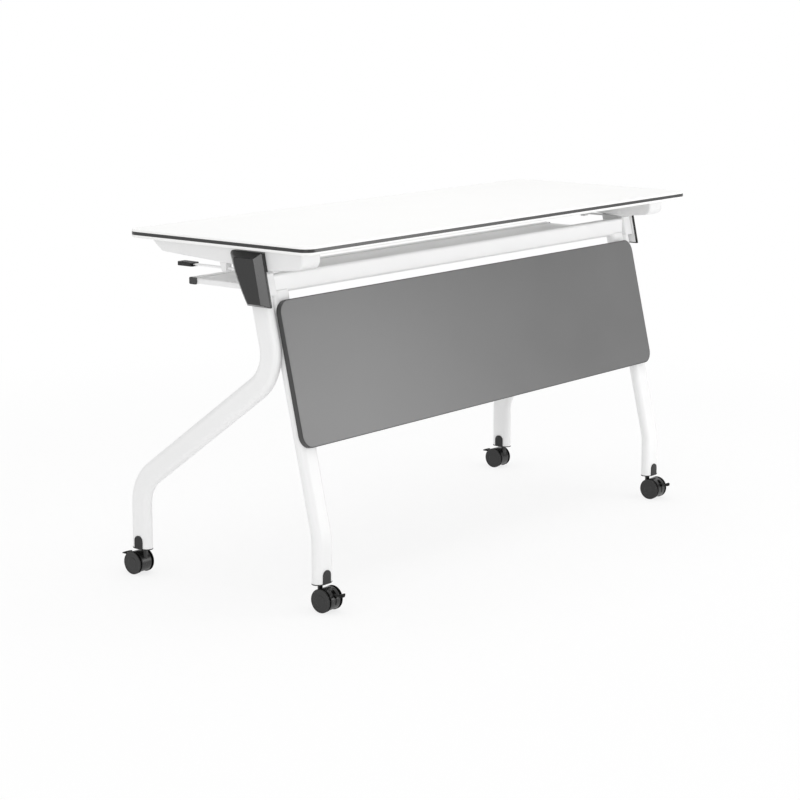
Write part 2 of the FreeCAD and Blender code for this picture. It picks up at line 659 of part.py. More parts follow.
def cover_outline(x, top, front, low, rear):
    """Outline of the hinge cover at a distance from the leg, drawn in on each side."""
    run = vec(0, COVER_BOTTOM_FRONT_Y - COVER_TOP_FRONT_Y, COVER_BOTTOM_Z - COVER_TOP_Z)
    z1 = COVER_TOP_Z - top
    z0 = COVER_BOTTOM_Z + low
    shift = front * run.Length / abs(run.z)

    def front_y(z):
        return COVER_TOP_FRONT_Y + (z - COVER_TOP_Z) * run.y / run.z + shift

    half_z = (COVER_TOP_Z + COVER_BOTTOM_Z) / 2
    arc = Part.Arc(
        vec(x, COVER_BOTTOM_REAR_Y - rear, COVER_BOTTOM_Z),
        vec(x, COVER_MIDDLE_REAR_Y - rear, half_z),
        vec(x, COVER_TOP_REAR_Y - rear, COVER_TOP_Z),
    )
    curve = arc.toShape().Curve
    circle_y, circle_z, radius = curve.Center.y, curve.Center.z, curve.Radius

    def rear_y(z):
        reach = math.sqrt(radius**2 - (z - circle_z) ** 2)
        return circle_y + math.copysign(reach, COVER_TOP_REAR_Y - circle_y)

    low_front, top_front = vec(x, front_y(z0), z0), vec(x, front_y(z1), z1)
    low_rear, top_rear = vec(x, rear_y(z0), z0), vec(x, rear_y(z1), z1)
    middle_z = (z0 + z1) / 2
    below = vec(x, rear_y(z1 - COVER_CORNER_ROUND), z1 - COVER_CORNER_ROUND)
    first, turn, last = corner_arc(top_front, top_rear, below, COVER_CORNER_ROUND)
    edges = [
        Part.makeLine(low_rear, low_front),
        Part.makeLine(low_front, top_front),
        Part.makeLine(top_front, first),
        Part.Arc(first, turn, last).toShape(),
        Part.Arc(last, vec(x, rear_y(middle_z), middle_z), low_rear).toShape(),
    ]
    return Part.Wire(edges)


def cover_form(x0, rim, depth, inset):
    """Rim of constant outline, then bevels that draw in towards the outer face."""
    bevels = (COVER_TOP_BEVEL, COVER_FRONT_BEVEL, COVER_LOWER_BEVEL, COVER_REAR_BEVEL)
    base = cover_outline(x0, inset, inset, inset, inset)
    shoulder = cover_outline(x0 + rim, inset, inset, inset, inset)
    face = cover_outline(x0 + depth, *[b + inset for b in bevels])
    lower = Part.makeLoft([base, shoulder], True, True)
    return lower.fuse(Part.makeLoft([shoulder, face], True, True)).removeSplitter()


def cover_skirt(x0):
    """Rim of the cover that reaches inwards beside the arm, above the bracket."""
    inner_x = ARM_OUTER_X + SKIRT_ARM_GAP
    reach = vec(x0 - inner_x, 0, 0)
    outer = Part.Face(cover_outline(inner_x, 0, 0, 0, 0)).extrude(reach)
    inner = Part.Face(cover_outline(inner_x, *[COVER_WALL] * 4)).extrude(reach)
    below = block(inner_x, x0, -TOP_DEPTH, TOP_DEPTH, 0, BRACKET_TOP_Z + SKIRT_BRACKET_GAP)
    return outer.cut([inner, below])


def hinge_cover():
    """Moulded black cover, hollow, with a skirt inwards and two pegs that snap into the bracket."""
    x0 = BRACKET_OUTER_X + COVER_GAP
    body = cover_form(x0, COVER_RIM, COVER_DEPTH, 0.0)
    outer = [e for e in body.Edges if e.BoundBox.XMax > x0 + COVER_RIM / 2]
    body = body.makeFillet(COVER_EDGE_ROUND, outer)
    below = x0 - COVER_WALL
    body = body.cut(cover_form(below, COVER_RIM, COVER_DEPTH, COVER_WALL)).fuse(cover_skirt(x0))
    peg_start = BRACKET_OUTER_X - BRACKET_SIDE_WALL + COVER_PEG_FIT
    for y, z in cover_peg_points():
        peg = rod_x(COVER_PEG_RADIUS, peg_start, x0 + COVER_DEPTH - COVER_WALL, y, z)
        body = body.fuse(peg)
    return body


def level_bar(x0, x1, y0, z0, depth, height, round_radius):
    """Straight bar of rounded rectangular section along X."""
    corners = [(y0, z0), (y0 + depth, z0), (y0 + depth, z0 + height), (y0, z0 + height)]
    return profile_yz(corners, [round_radius] * 4, x0, x1)


def level_tube(x0, x1, y0, z0, depth, height, round_radius, wall):
    """Straight tube of rounded rectangular section along X."""
    outer = level_bar(x0, x1, y0, z0, depth, height, round_radius)
    inner = level_bar(
        x0, x1, y0 + wall, z0 + wall, depth - 2 * wall, height - 2 * wall, round_radius - wall
    )
    return outer.cut(inner)


def beam_form():
    """Outer form of the beam, from bracket to bracket."""
    x = BRACKET_INNER_X
    return level_bar(-x, x, BEAM_FRONT_Y, BEAM_BOTTOM_Z, BEAM_DEPTH, BEAM_HEIGHT, BEAM_ROUND)


def crossbeam():
    x = BRACKET_INNER_X
    return level_tube(-x, x, BEAM_FRONT_Y, BEAM_BOTTOM_Z, BEAM_DEPTH, BEAM_HEIGHT, BEAM_ROUND, BEAM_WALL)


def panel_point(x, fall):
    """Point on the panel's front face, at a distance down from its top edge."""
    front_gap = TUBE_SHORT / 2 + PANEL_THICKNESS
    axis_z = PANEL_TOP_Z - front_gap * OUT_FRONT.z
    on_axis = vec(x, front_axis_y(axis_z), axis_z)
    return on_axis + OUT_FRONT * front_gap - UP_LEG * fall


def modesty_panel():
    """Board with rounded corners that lies against the front legs."""
    half = PANEL_WIDTH / 2
    corners = [panel_point(-half, PANEL_HEIGHT), panel_point(half, PANEL_HEIGHT)]
    corners += [panel_point(half, 0), panel_point(-half, 0)]
    outline = rounded_polygon(corners, [PANEL_CORNER_RADIUS] * 4)
    board = Part.Face(outline).extrude(OUT_FRONT * -PANEL_THICKNESS)
    front_plane = panel_point(0, 0).dot(OUT_FRONT)
    rims = []
    for edge in board.Edges:
        depths = [front_plane - v.Point.dot(OUT_FRONT) for v in edge.Vertexes]
        if max(depths) - min(depths) < 1e-6:
            rims.append(edge)
    board = board.makeFillet(PANEL_EDGE_ROUND, rims)
    for centre in panel_screw_points():
        start = centre + OUT_FRONT * (TUBE_SHORT / 2)
        radius, depth = PANEL_SCREW_RADIUS + SCREW_FIT, PANEL_SCREW_BITE + SCREW_FIT
        hole = Part.makeCylinder(radius, depth, start, OUT_FRONT)
        board = board.cut([hole, mirrored(hole)])
    return board


def panel_screw(centre):
    """Screw from behind, through the front leg into the panel."""
    seat = centre - OUT_FRONT * (TUBE_SHORT / 2)
    head = Part.makeCylinder(PANEL_SCREW_HEAD_RADIUS, PANEL_SCREW_HEAD_HEIGHT, seat, OUT_FRONT * -1)
    half = PANEL_SCREW_HEAD_HEIGHT / 2
    far = [e for e in head.Edges if e.Closed and (e.CenterOfMass - seat).Length > half]
    head = head.makeFillet(half, far)
    return head.fuse(Part.makeCylinder(PANEL_SCREW_RADIUS, TUBE_SHORT + PANEL_SCREW_BITE, seat, OUT_FRONT))


def tray_rail():
    """Side rail from the beam to the rear tube."""
    x1 = BRACKET_INNER_X - TRAY_RAIL_GAP_X
    z1 = TRAY_RAIL_BOTTOM_Z + TRAY_RAIL_HEIGHT
    y0 = BEAM_FRONT_Y + BEAM_DEPTH
    rail = block(x1 - TRAY_RAIL_WIDTH, x1, y0, TRAY_TUBE_FRONT_Y, TRAY_RAIL_BOTTOM_Z, z1)
    along = [e for e in rail.Edges if e.BoundBox.YLength > TRAY_RAIL_WIDTH and e.BoundBox.XMin > x1 - 1e-6]
    return rail.makeFillet(TRAY_RAIL_WIDTH / 4, along)


def tray_shelf():
    """Folded sheet between the rails, with its edges turned down."""
    x = BRACKET_INNER_X - TRAY_RAIL_GAP_X - TRAY_RAIL_WIDTH
    y0 = BEAM_FRONT_Y + BEAM_DEPTH
    z1 = TRAY_RAIL_BOTTOM_Z + TRAY_RAIL_HEIGHT
    folded = block(-x, x, y0, TRAY_TUBE_FRONT_Y, z1 - TRAY_FLANGE, z1)
    t = TRAY_SHEET
    under = block(t - x, x - t, y0 + t, TRAY_TUBE_FRONT_Y - t, z1 - TRAY_FLANGE, z1 - t)
    return folded.cut(under)


def tray_rear_tube():
    x = BRACKET_INNER_X - TRAY_RAIL_GAP_X
    middle = TRAY_RAIL_BOTTOM_Z + TRAY_RAIL_HEIGHT / 2
    z0 = middle - TRAY_TUBE_HEIGHT / 2
    return level_tube(
        -x, x, TRAY_TUBE_FRONT_Y, z0, TRAY_TUBE_DEPTH, TRAY_TUBE_HEIGHT, TRAY_TUBE_ROUND, TRAY_TUBE_WALL
    )


def tray_end_cap():
    """Black cap with a plug that fits the rear tube's end."""
    x = BRACKET_INNER_X - TRAY_RAIL_GAP_X
    y0, y1 = TRAY_TUBE_FRONT_Y, TRAY_TUBE_FRONT_Y + TRAY_TUBE_DEPTH
    middle = TRAY_RAIL_BOTTOM_Z + TRAY_RAIL_HEIGHT / 2
    z0, z1 = middle - TRAY_TUBE_HEIGHT / 2, middle + TRAY_TUBE_HEIGHT / 2
    lip = profile_yz([(y0, z0), (y1, z0), (y1, z1), (y0, z1)], [TRAY_TUBE_ROUND] * 4, x, x + TRAY_CAP_LIP)
    outer = [e for e in lip.Edges if e.BoundBox.XMin > x + TRAY_CAP_LIP - 1e-6]
    lip = lip.makeFillet(TRAY_CAP_LIP / 3, outer)
    gap = TRAY_TUBE_WALL + SCREW_FIT
    inside = [(y0 + gap, z0 + gap), (y1 - gap, z0 + gap), (y1 - gap, z1 - gap), (y0 + gap, z1 - gap)]
    return lip.fuse(profile_yz(inside, [TRAY_TUBE_ROUND - gap] * 4, x - TRAY_CAP_PLUG, x))


def leg_plug(x, y, stem_y, size_x, size_y):
    """Plug in a leg's end: plate, insert with the stem's bore, and an upright tab on each wide side."""
    rim = 2 * PLUG_RIM
    outline = oval_wire(x, y, PLATE_BOTTOM_Z, size_x + rim, size_y + rim)
    plate = Part.Face(outline).extrude(vec(0, 0, PLUG_PLATE))
    wall = 2 * (TUBE_WALL + PLUG_FIT)
    bore_outline = oval_wire(x, y, LEG_END_Z, size_x - wall, size_y - wall)
    insert = Part.Face(bore_outline).extrude(vec(0, 0, PLUG_INSERT))
    body = plate.fuse(insert)
    half = TAB_WIDTH / 2
    z1 = LEG_END_Z + TAB_HEIGHT
    z0 = PLATE_BOTTOM_Z
    corners = [vec(0, -half, z0), vec(0, half, z0), vec(0, half, z1), vec(0, -half, z1)]
    tab_outline = rounded_polygon(corners, [0, 0, TAB_ROUND, TAB_ROUND])
    tab = Part.Face(tab_outline).extrude(vec(TAB_THICKNESS, 0, 0))
    wide_gap = min(size_x, size_y) / 2
    for turn in (0, 180):
        flap = tab.copy()
        flap.translate(vec(wide_gap, 0, 0))
        flap.rotate(vec(0, 0, 0), vec(0, 0, 1), turn + (0 if size_y > size_x else 90))
        flap.translate(vec(x, y, 0))
        body = body.fuse(flap)
    bore = rod_z(STEM_RADIUS + STEM_FIT, PLATE_BOTTOM_Z, LEG_END_Z + PLUG_INSERT, x, stem_y)
    return body.cut(bore).removeSplitter()


def castor_body():
    """Drum hood between the wheels, open below, with neck and stem, slotted for the brake pedal."""
    half = HOOD_WIDTH / 2
    wheel_y, wheel_z = -CASTOR_TRAIL, WHEEL_RADIUS
    hood = rod_x(HOOD_RADIUS, -half, half, wheel_y, wheel_z)
    hood = hood.makeFillet(HOOD_EDGE_ROUND, [e for e in hood.Edges if e.Closed])
    neck_top = PLATE_BOTTOM_Z - NECK_GAP
    hood = hood.fuse(rod_z(NECK_RADIUS, wheel_z, neck_top, 0, 0))
    hood = hood.fuse(rod_z(STEM_RADIUS, wheel_z, PLATE_BOTTOM_Z + STEM_LENGTH, 0, 0))
    hood = hood.cut(block(-half, half, -2 * WHEEL_RADIUS, WHEEL_RADIUS, 0, HOOD_BOTTOM_Z))
    inner = half - HOOD_WALL
    front, back = wheel_y - HOOD_CAVITY_REACH, wheel_y + HOOD_CAVITY_REACH
    hood = hood.cut(block(-inner, inner, front, back, 0, HOOD_CAVITY_TOP_Z))
    pivot_y, pivot_z = pedal_pivot()
    slot_half = PEDAL_NECK_WIDTH / 2 + PEDAL_SIDE_GAP
    slot_floor = pivot_z - PEDAL_BARREL_RADIUS - PEDAL_FLOOR_GAP
    slot_back = pivot_y + PEDAL_BARREL_RADIUS + PEDAL_FLOOR_GAP
    slot_front = wheel_y - 2 * HOOD_RADIUS
    hood = hood.cut(block(-slot_half, slot_half, slot_front, slot_back, slot_floor, 2 * WHEEL_RADIUS))
    slit = HOOD_SLIT_WIDTH / 2
    slit_y = wheel_y - HOOD_RADIUS
    hood = hood.cut(block(-slit, slit, slit_y, slit_y + HOOD_SLIT_DEPTH, HOOD_CAVITY_TOP_Z, slot_floor))
    hood = hood.cut(rod_x(AXLE_RADIUS + AXLE_RUNNING_FIT, -half, half, wheel_y, wheel_z))
    hood = hood.cut(rod_x(PEDAL_PIVOT_RADIUS + AXLE_RUNNING_FIT, -half, half, pivot_y, pivot_z))
    return hood.removeSplitter()


def castor_axle():
    reach = HOOD_WIDTH / 2 + WHEEL_GAP + AXLE_DEPTH_IN_WHEEL
    return rod_x(AXLE_RADIUS, -reach, reach, -CASTOR_TRAIL, WHEEL_RADIUS)


def castor_wheel():
    """Wheel with rounded tread, dished outer face and a blind bore for the axle."""
    x0 = HOOD_WIDTH / 2 + WHEEL_GAP
    x1 = x0 + WHEEL_WIDTH
    bore = AXLE_RADIUS + AXLE_PRESS_GAP
    bore_end = x0 + AXLE_DEPTH_IN_WHEEL + AXLE_PRESS_GAP
    rim = WHEEL_RADIUS - WHEEL_RIM
    points = [
        (x0, bore),
        (x0, WHEEL_RADIUS),
        (x1, WHEEL_RADIUS),
        (x1, rim),
        (x1 - WHEEL_DISH, rim - WHEEL_DISH),
        (x1 - WHEEL_DISH, 0),
        (bore_end, 0),
        (bore_end, bore),
    ]
    radii = [0, WHEEL_INNER_ROUND, WHEEL_OUTER_ROUND, 0, 0, 0, 0, 0]
    section = Part.Face(rounded_polygon([vec(x, 0, r) for x, r in points], radii))
    wheel = section.revolve(vec(0, 0, 0), vec(1, 0, 0), 360)
    wheel.translate(vec(0, -CASTOR_TRAIL, WHEEL_RADIUS))
    return wheel


def pedal_pivot():
    return -CASTOR_TRAIL - PEDAL_PIVOT_BACK, WHEEL_RADIUS + PEDAL_PIVOT_RISE


def pedal_wing(neck, root_y, top_z):
    """Foot wing of the pedal: swept and pointed in plan, thinner and lifted towards its tips."""
    half = PEDAL_WIDTH / 2
    tip_y = root_y - PEDAL_WING_SWEEP
    toe_y = root_y - PEDAL_WING_CHORD
    low_z = top_z - PEDAL_WING_THICKNESS
    top_tip_z = top_z + PEDAL_TIP_LIFT
    low_tip_z = top_tip_z - PEDAL_TIP_THICKNESS
    plan = [(neck, root_y), (half, tip_y), (half, tip_y - PEDAL_TIP_CHORD), (neck, toe_y)]
    plan = plan + [(-x, y) for x, y in reversed(plan)]
    tip_round = PEDAL_TIP_CHORD / 3
    radii = [0, tip_round, tip_round, 2 * neck, 2 * neck, tip_round, tip_round, 0]
    outline = rounded_polygon([vec(x, y, low_z) for x, y in plan], radii)
    blank = Part.Face(outline).extrude(vec(0, 0, PEDAL_WING_THICKNESS + PEDAL_TIP_LIFT))
    front = [(-half, low_tip_z), (-neck, low_z), (neck, low_z), (half, low_tip_z)]
    front += [(half, top_tip_z), (neck, top_z), (-neck, top_z), (-half, top_tip_z)]
    section = Part.makePolygon([vec(x, toe_y, z) for x, z in front + front[:1]])
    return blank.common(Part.Face(section).extrude(vec(0, PEDAL_WING_CHORD, 0)))


def brake_pedal():
    """Pedal with a narrow neck in the hood and a pointed wing outside."""
    pivot_y, pivot_z = pedal_pivot()
    tip_z = WHEEL_RADIUS + PEDAL_TIP_RISE
    neck = PEDAL_NECK_WIDTH / 2
    root_y = PEDAL_WING_CHORD - CASTOR_TRAIL - PEDAL_REACH
    z0 = tip_z - PEDAL_THICKNESS
    leaf = block(-neck, neck, root_y, pivot_y, z0, tip_z)
    drop = [(pivot_y, pivot_z - PEDAL_BARREL_RADIUS), (pivot_y, tip_z)]
    drop += [(pivot_y - neck, tip_z), (pivot_y - neck, z0)]
    root = profile_yz(drop, [0] * 4, -neck, neck)
    barrel = rod_x(PEDAL_BARREL_RADIUS, -neck, neck, pivot_y, pivot_z)
    stub_half = HOOD_WIDTH / 2 - PEDAL_PIVOT_INSET
    stub = rod_x(PEDAL_PIVOT_RADIUS, -stub_half, stub_half, pivot_y, pivot_z)
    return leaf.fuse([pedal_wing(neck, root_y, tip_z), root, barrel, stub]).removeSplitter()


def placed(shape, x, y, turn):
    """A castor piece set under its leg, turned about the stem."""
    piece = shape.copy()
    piece.rotate(vec(0, 0, 0), vec(0, 0, 1), turn)
    piece.translate(vec(x, y, 0))
    return piece


def pair(nodes, name, shape):
    """Right piece and its mirror image at the left end."""
    nodes[name + "_right"] = shape
    nodes[name + "_left"] = mirrored(shape)


def castor_nodes(nodes):
    body, axle, pedal = castor_body(), castor_axle(), brake_pedal()
    wheel = castor_wheel()
    for corner, (x, y, turn) in CASTORS.items():
        size_x, size_y = (TUBE_LONG, TUBE_SHORT) if corner.startswith("front") else (TUBE_SHORT, TUBE_LONG)
        stem_y = y - math.copysign(STEM_INSET, y)
        nodes["leg_plug_" + corner] = leg_plug(x, y, stem_y, size_x, size_y)
        nodes["castor_body_" + corner] = placed(body, x, stem_y, turn)
        nodes["axle_" + corner] = placed(axle, x, stem_y, turn)
        nodes["brake_pedal_" + corner] = placed(pedal, x, stem_y, turn)
        outwards = x > 0
        if turn:
            outwards = not outwards
        outer, inner = (wheel, mirrored(wheel)) if outwards else (mirrored(wheel), wheel)
        nodes["wheel_outer_" + corner] = placed(outer, x, stem_y, turn)
        nodes["wheel_inner_" + corner] = placed(inner, x, stem_y, turn)


def all_nodes():
    nodes = {"tabletop": tabletop(), "edge_band": edge_band()}
    pair(nodes, "support_arm", support_arm())
    pair(nodes, "hinge_pin", hinge_pin())
    pair(nodes, "rod_guide", rod_guide())
    pair(nodes, "latch_rod", latch_rod())
    pair(nodes, "pull_grip", pull_grip())
    nodes["arm_screws"] = Part.makeCompound([arm_screw(x, y) for x, y in arm_screw_places()])
    pair(nodes, "rear_leg", rear_leg())
    pair(nodes, "front_leg", front_leg())
    pair(nodes, "hinge_bracket", hinge_bracket())
    pair(nodes, "hinge_cover", hinge_cover())
    nodes["stop_pads"] = Part.makeCompound([stop_pad(), mirrored(stop_pad())])
    nodes["crossbeam"] = crossbeam()
    nodes["modesty_panel"] = modesty_panel()
    screws = [panel_screw(centre) for centre in panel_screw_points()]
    nodes["panel_screws"] = Part.makeCompound(screws + [mirrored(s) for s in screws])
    pair(nodes, "tray_rail", tray_rail())
    nodes["tray_shelf"] = tray_shelf()
    nodes["tray_rear_tube"] = tray_rear_tube()
    nodes["tray_end_caps"] = Part.makeCompound([tray_end_cap(), mirrored(tray_end_cap())])
    castor_nodes(nodes)
    return nodes


def main():
    os.makedirs("parts", exist_ok=True)
    for name, shape in all_nodes().items():
        shape.exportStep(f"parts/{name}.step")


main()
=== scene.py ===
"""Looks of a flip-top training table on castors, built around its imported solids."""

import logging
import math
from collections.abc import Callable, Iterable
from dataclasses import dataclass, field
from enum import Enum

import bmesh
import bpy
from mathutils import Matrix, Vector


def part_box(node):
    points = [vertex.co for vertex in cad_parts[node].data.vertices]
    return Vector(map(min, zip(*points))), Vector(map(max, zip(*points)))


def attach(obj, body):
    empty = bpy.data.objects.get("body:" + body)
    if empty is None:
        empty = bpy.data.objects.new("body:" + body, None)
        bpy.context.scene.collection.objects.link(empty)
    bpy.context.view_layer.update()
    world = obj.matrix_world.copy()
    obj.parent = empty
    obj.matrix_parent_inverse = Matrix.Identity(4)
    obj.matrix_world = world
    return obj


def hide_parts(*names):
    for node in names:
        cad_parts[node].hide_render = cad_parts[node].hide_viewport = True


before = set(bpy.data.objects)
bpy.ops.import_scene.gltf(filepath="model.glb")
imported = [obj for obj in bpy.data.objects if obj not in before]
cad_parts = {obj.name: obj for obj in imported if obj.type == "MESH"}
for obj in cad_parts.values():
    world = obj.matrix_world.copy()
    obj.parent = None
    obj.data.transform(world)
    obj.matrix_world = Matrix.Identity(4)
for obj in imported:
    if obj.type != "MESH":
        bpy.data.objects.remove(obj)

LOG = logging.getLogger("table")
MM = 0.001
QUARTER_TURN = math.radians(90)
HALF_TURN = math.radians(180)
X_WAY = Vector((1, 0, 0))
Y_WAY = Vector((0, 1, 0))
Z_WAY = Vector((0, 0, 1))
Colour = tuple[float, float, float, float]
Test = Callable[[Vector, Vector], bool]

# Faces that turn less than this against each other are shaded as one surface.
SMOOTH_ANGLE = math.radians(32)
# Corners nearer to each other than this become one.
WELD_MM = 0.002
# Bevel profile of a quarter circle.
ROUND = 0.5
# Steps across a softened edge, and the least turn of an edge that is softened unless another is given.
SOFT_STEPS = 2
SOFT_DEGREES = 30.0
# Solidify offset that keeps the outer face where it is.
INWARDS = -1.0
# Sides of a screw's socket.
HEXAGON = 6

# A direction counts as along an axis above this cosine, and a face as flat on to it above the next.
ALONG = 0.9
FLAT = 0.99
# A direction counts as square to an axis below this cosine.
SQUARE = 0.1
# How near an edge is to the end of a form to count as its rim.
NEAR_MM = 0.1

# Detail of the slow noise that drives tint and gloss, and the part of its range that it mostly keeps to.
DRIFT_DETAIL = 1.0
DRIFT_SPAN = (0.2, 0.8)
BUMP_STRENGTH = 0.5

# Largest value of a hex colour's byte.
FULL_BYTE = 255
# The sRGB curve: the end and slope of its straight part, and the offset and power of the rest.
SRGB_KNEE = 0.04045
SRGB_SLOPE = 12.92
SRGB_OFFSET = 0.055
SRGB_POWER = 2.4

WHITE = "#ffffff"
# Strength at which a white light renders as white.
WHITE_STRENGTH = 1.0


def linear(code: str) -> Colour:
    """Turns an sRGB hex colour into linear light.

    Args:
        code: colour as #rrggbb.

    Returns:
        Linear red, green, blue and a full alpha.
    """
    lit = []
    for start in (1, 3, 5):
        part = int(code[start:start + 2], 16) / FULL_BYTE
        curved = ((part + SRGB_OFFSET) / (1 + SRGB_OFFSET)) ** SRGB_POWER
        lit.append(part / SRGB_SLOPE if part <= SRGB_KNEE else curved)
    return lit[0], lit[1], lit[2], 1.0


def mm(x: float, y: float, z: float) -> Vector:
    """A point or a run given in millimetres, in metres."""
    return Vector((x, y, z)) * MM


def along(way: Vector) -> Test:
    """Test for an edge or a face's normal that lies along a way, in either sense."""
    return lambda middle, direction: abs(direction.dot(way)) > ALONG


def square_to(way: Vector) -> Test:
    """Test for an edge that runs square to a way."""
    return lambda middle, run: abs(run.dot(way)) < SQUARE


def facing(way: Vector, least: float = ALONG) -> Test:
    """Test for a face that looks a way, by the least cosine that counts."""
    return lambda middle, out: out.dot(way) > least


def end_rim(way: Vector, reach: float) -> Test:
    """Test for an edge round the end that looks a way, at a reach in metres along it."""
    return lambda middle, run: middle.dot(way) > reach - NEAR_MM * MM and abs(run.dot(way)) < SQUARE


def add_node(tree: bpy.types.NodeTree, kind: str, settings: dict | None = None,
             inputs: dict | None = None) -> bpy.types.Node:
    """Adds a node with its settings, values and links.

    Args:
        tree: node tree of a material or of the world.
        kind: node type's name.
        settings: properties to set on the node.
        inputs: input names, each with a value or with the socket that feeds it.

    Returns:
        The new node.
    """
    node = tree.nodes.new(kind)
    for name, value in (settings or {}).items():
        setattr(node, name, value)
    for name, value in (inputs or {}).items():
        if isinstance(value, bpy.types.NodeSocket):
            tree.links.new(value, node.inputs[name])
        else:
            node.inputs[name].default_value = value
    return node


class Grain(Enum):
    """Kinds of surface grain, by the texture that draws them."""

    PEBBLED = "ShaderNodeTexVoronoi"
    CLOUDED = "ShaderNodeTexNoise"


@dataclass(frozen=True)
class Finish:
    """A surface finish: its colour and gloss, and the size that its grain usually has on such a surface.

    That grain is too fine to show in the picture, so coarser says how many times larger it is drawn.
    """

    name: str
    colour: str
    roughness: float
    grain: Grain
    grain_mm: float
    coarser: float
    depth_mm: float
    metallic: float = 0.0
    ior: float = 1.5
    tint: float = 0.04
    tint_mm: float = 90.0
    gloss_drift: float = 0.06
    stretch: tuple[float, float, float] = (1.0, 1.0, 1.0)

    def material(self) -> bpy.types.Material:
        """Gives the finish's material, made the first time that it is asked for.

        Returns:
            Material with colour drift, gloss drift and grain from Object coordinates.
        """
        known = bpy.data.materials.get(self.name)
        if known:
            return known
        made = bpy.data.materials.new(self.name)
        made.use_nodes = True
        tree = made.node_tree
        tree.nodes.clear()
        place = add_node(tree, "ShaderNodeTexCoord").outputs["Object"]
        mapping = add_node(tree, "ShaderNodeMapping", None, {"Vector": place, "Scale": self.stretch})
        grid = mapping.outputs["Vector"]
        drift = add_node(tree, "ShaderNodeTexNoise", None, {
            "Vector": grid, "Scale": 1 / (self.tint_mm * MM), "Detail": DRIFT_DETAIL}).outputs["Fac"]
        tints = add_node(tree, "ShaderNodeValToRGB", None, {"Fac": drift})
        full = linear(self.colour)
        for stop, position, share in zip(tints.color_ramp.elements, DRIFT_SPAN, (1 - self.tint, 1.0)):
            stop.position = position
            stop.color = (full[0] * share, full[1] * share, full[2] * share, 1.0)
        gloss = add_node(tree, "ShaderNodeMapRange", None, {
            "Value": drift, "From Min": DRIFT_SPAN[0], "From Max": DRIFT_SPAN[1],
            "To Min": self.roughness - self.gloss_drift / 2, "To Max": self.roughness + self.gloss_drift / 2})
        grain = add_node(tree, self.grain.value, None, {
            "Vector": grid, "Scale": 1 / (self.grain_mm * self.coarser * MM)})
        bump = add_node(tree, "ShaderNodeBump", None, {
            "Height": grain.outputs[0], "Strength": BUMP_STRENGTH, "Distance": self.depth_mm * MM})
        shader = add_node(tree, "ShaderNodeBsdfPrincipled", None, {
            "Base Color": tints.outputs["Color"], "Roughness": gloss.outputs["Result"],
            "Normal": bump.outputs["Normal"], "Metallic": self.metallic, "IOR": self.ior})
        add_node(tree, "ShaderNodeOutputMaterial", None, {"Surface": shader.outputs["BSDF"]})
        return made


# High-pressure laminate, pressed against a pearled plate: near white, satin, with a faint shallow emboss.
# The pearl is about 0.5 mm across, drawn at 4 mm.
LAMINATE = Finish("white_pearl_laminate", "#f8f8f7", roughness=0.42, grain=Grain.CLOUDED, grain_mm=0.5,
                  coarser=8, depth_mm=0.05, tint=0.015)
# ABS edging, extruded along the board: dark grey, satin, with soft streaks drawn out along its length.
# A streak is about 0.3 mm wide, drawn at 6 mm.
EDGING = Finish("dark_grey_abs_edging", "#303030", roughness=0.3, grain=Grain.CLOUDED, grain_mm=0.3,
                coarser=20, depth_mm=0.06, stretch=(0.05, 0.05, 1.0))
# Steel under sprayed and baked white powder: even, with the soft ripple of powder that has flowed.
# The ripple is about 1.25 mm on the real tube, drawn at 5 mm.
POWDER_COAT = Finish("white_powder_coated_steel", "#f1f1f1", roughness=0.38, grain=Grain.CLOUDED,
                     grain_mm=1.25, coarser=4, depth_mm=0.05, tint=0.02)
# Pressure-cast aluminium under the same powder: a little duller, where the pebble of the cast skin shows.
# The pebble is about 0.7 mm, drawn at 3.5 mm.
CAST_COAT = Finish("white_powder_coated_casting", "#ececec", roughness=0.46, grain=Grain.PEBBLED,
                   grain_mm=0.7, coarser=5, depth_mm=0.06, tint=0.03)
# Melamine-faced chipboard: mid grey with a satin pearl, and a slow drift in the printed paper.
# The pearl is about 0.5 mm, drawn at 4 mm.
MELAMINE = Finish("grey_melamine_board", "#6e6e6e", roughness=0.3, grain=Grain.CLOUDED, grain_mm=0.5,
                  coarser=8, depth_mm=0.06, tint=0.05, tint_mm=160.0)
# ABS edging on that board: darker and duller than its face, with a slight ripple from the trimming cutter.
# The ripple is about 1 mm, drawn at 5 mm.
BOARD_EDGING = Finish("slate_abs_edging", "#404040", roughness=0.45, grain=Grain.CLOUDED, grain_mm=1.0,
                      coarser=5, depth_mm=0.05)
# Glass-filled nylon moulding from a spark-eroded mould: near black, with a low sheen over a fine pebble.
# The pebble is about 0.4 mm, drawn at 2.2 mm.
MOULDED = Finish("black_moulded_nylon", "#202020", roughness=0.25, grain=Grain.PEBBLED, grain_mm=0.4,
                 coarser=5.5, depth_mm=0.07, tint=0.06)
# The same nylon and pebble, drawn blacker than the other mouldings as painted shade from under the board, and
# duller, as handling leaves it.
GRIP = Finish("black_nylon_painted_shade", "#181818", roughness=0.42, grain=Grain.PEBBLED, grain_mm=0.4,
              coarser=5.5, depth_mm=0.08, tint=0.08, tint_mm=15.0)
# Polypropylene cap, straight from the mould: slate grey, satin, with a waxy cloud.
# The cloud is about 0.6 mm, drawn at 3 mm.
CAP = Finish("slate_polypropylene_cap", "#3c3c3c", roughness=0.4, grain=Grain.CLOUDED, grain_mm=0.6,
             coarser=5, depth_mm=0.05, tint=0.06, tint_mm=20.0)
# ABS moulding from a polished mould, for the castor hoods: black with a soft sheen, hardly rippled.
# The ripple is about 0.6 mm, drawn at 3 mm.
HOOD = Finish("black_polished_abs", "#1c1c1c", roughness=0.28, grain=Grain.CLOUDED, grain_mm=0.6,
              coarser=5, depth_mm=0.03, tint=0.08, tint_mm=20.0)
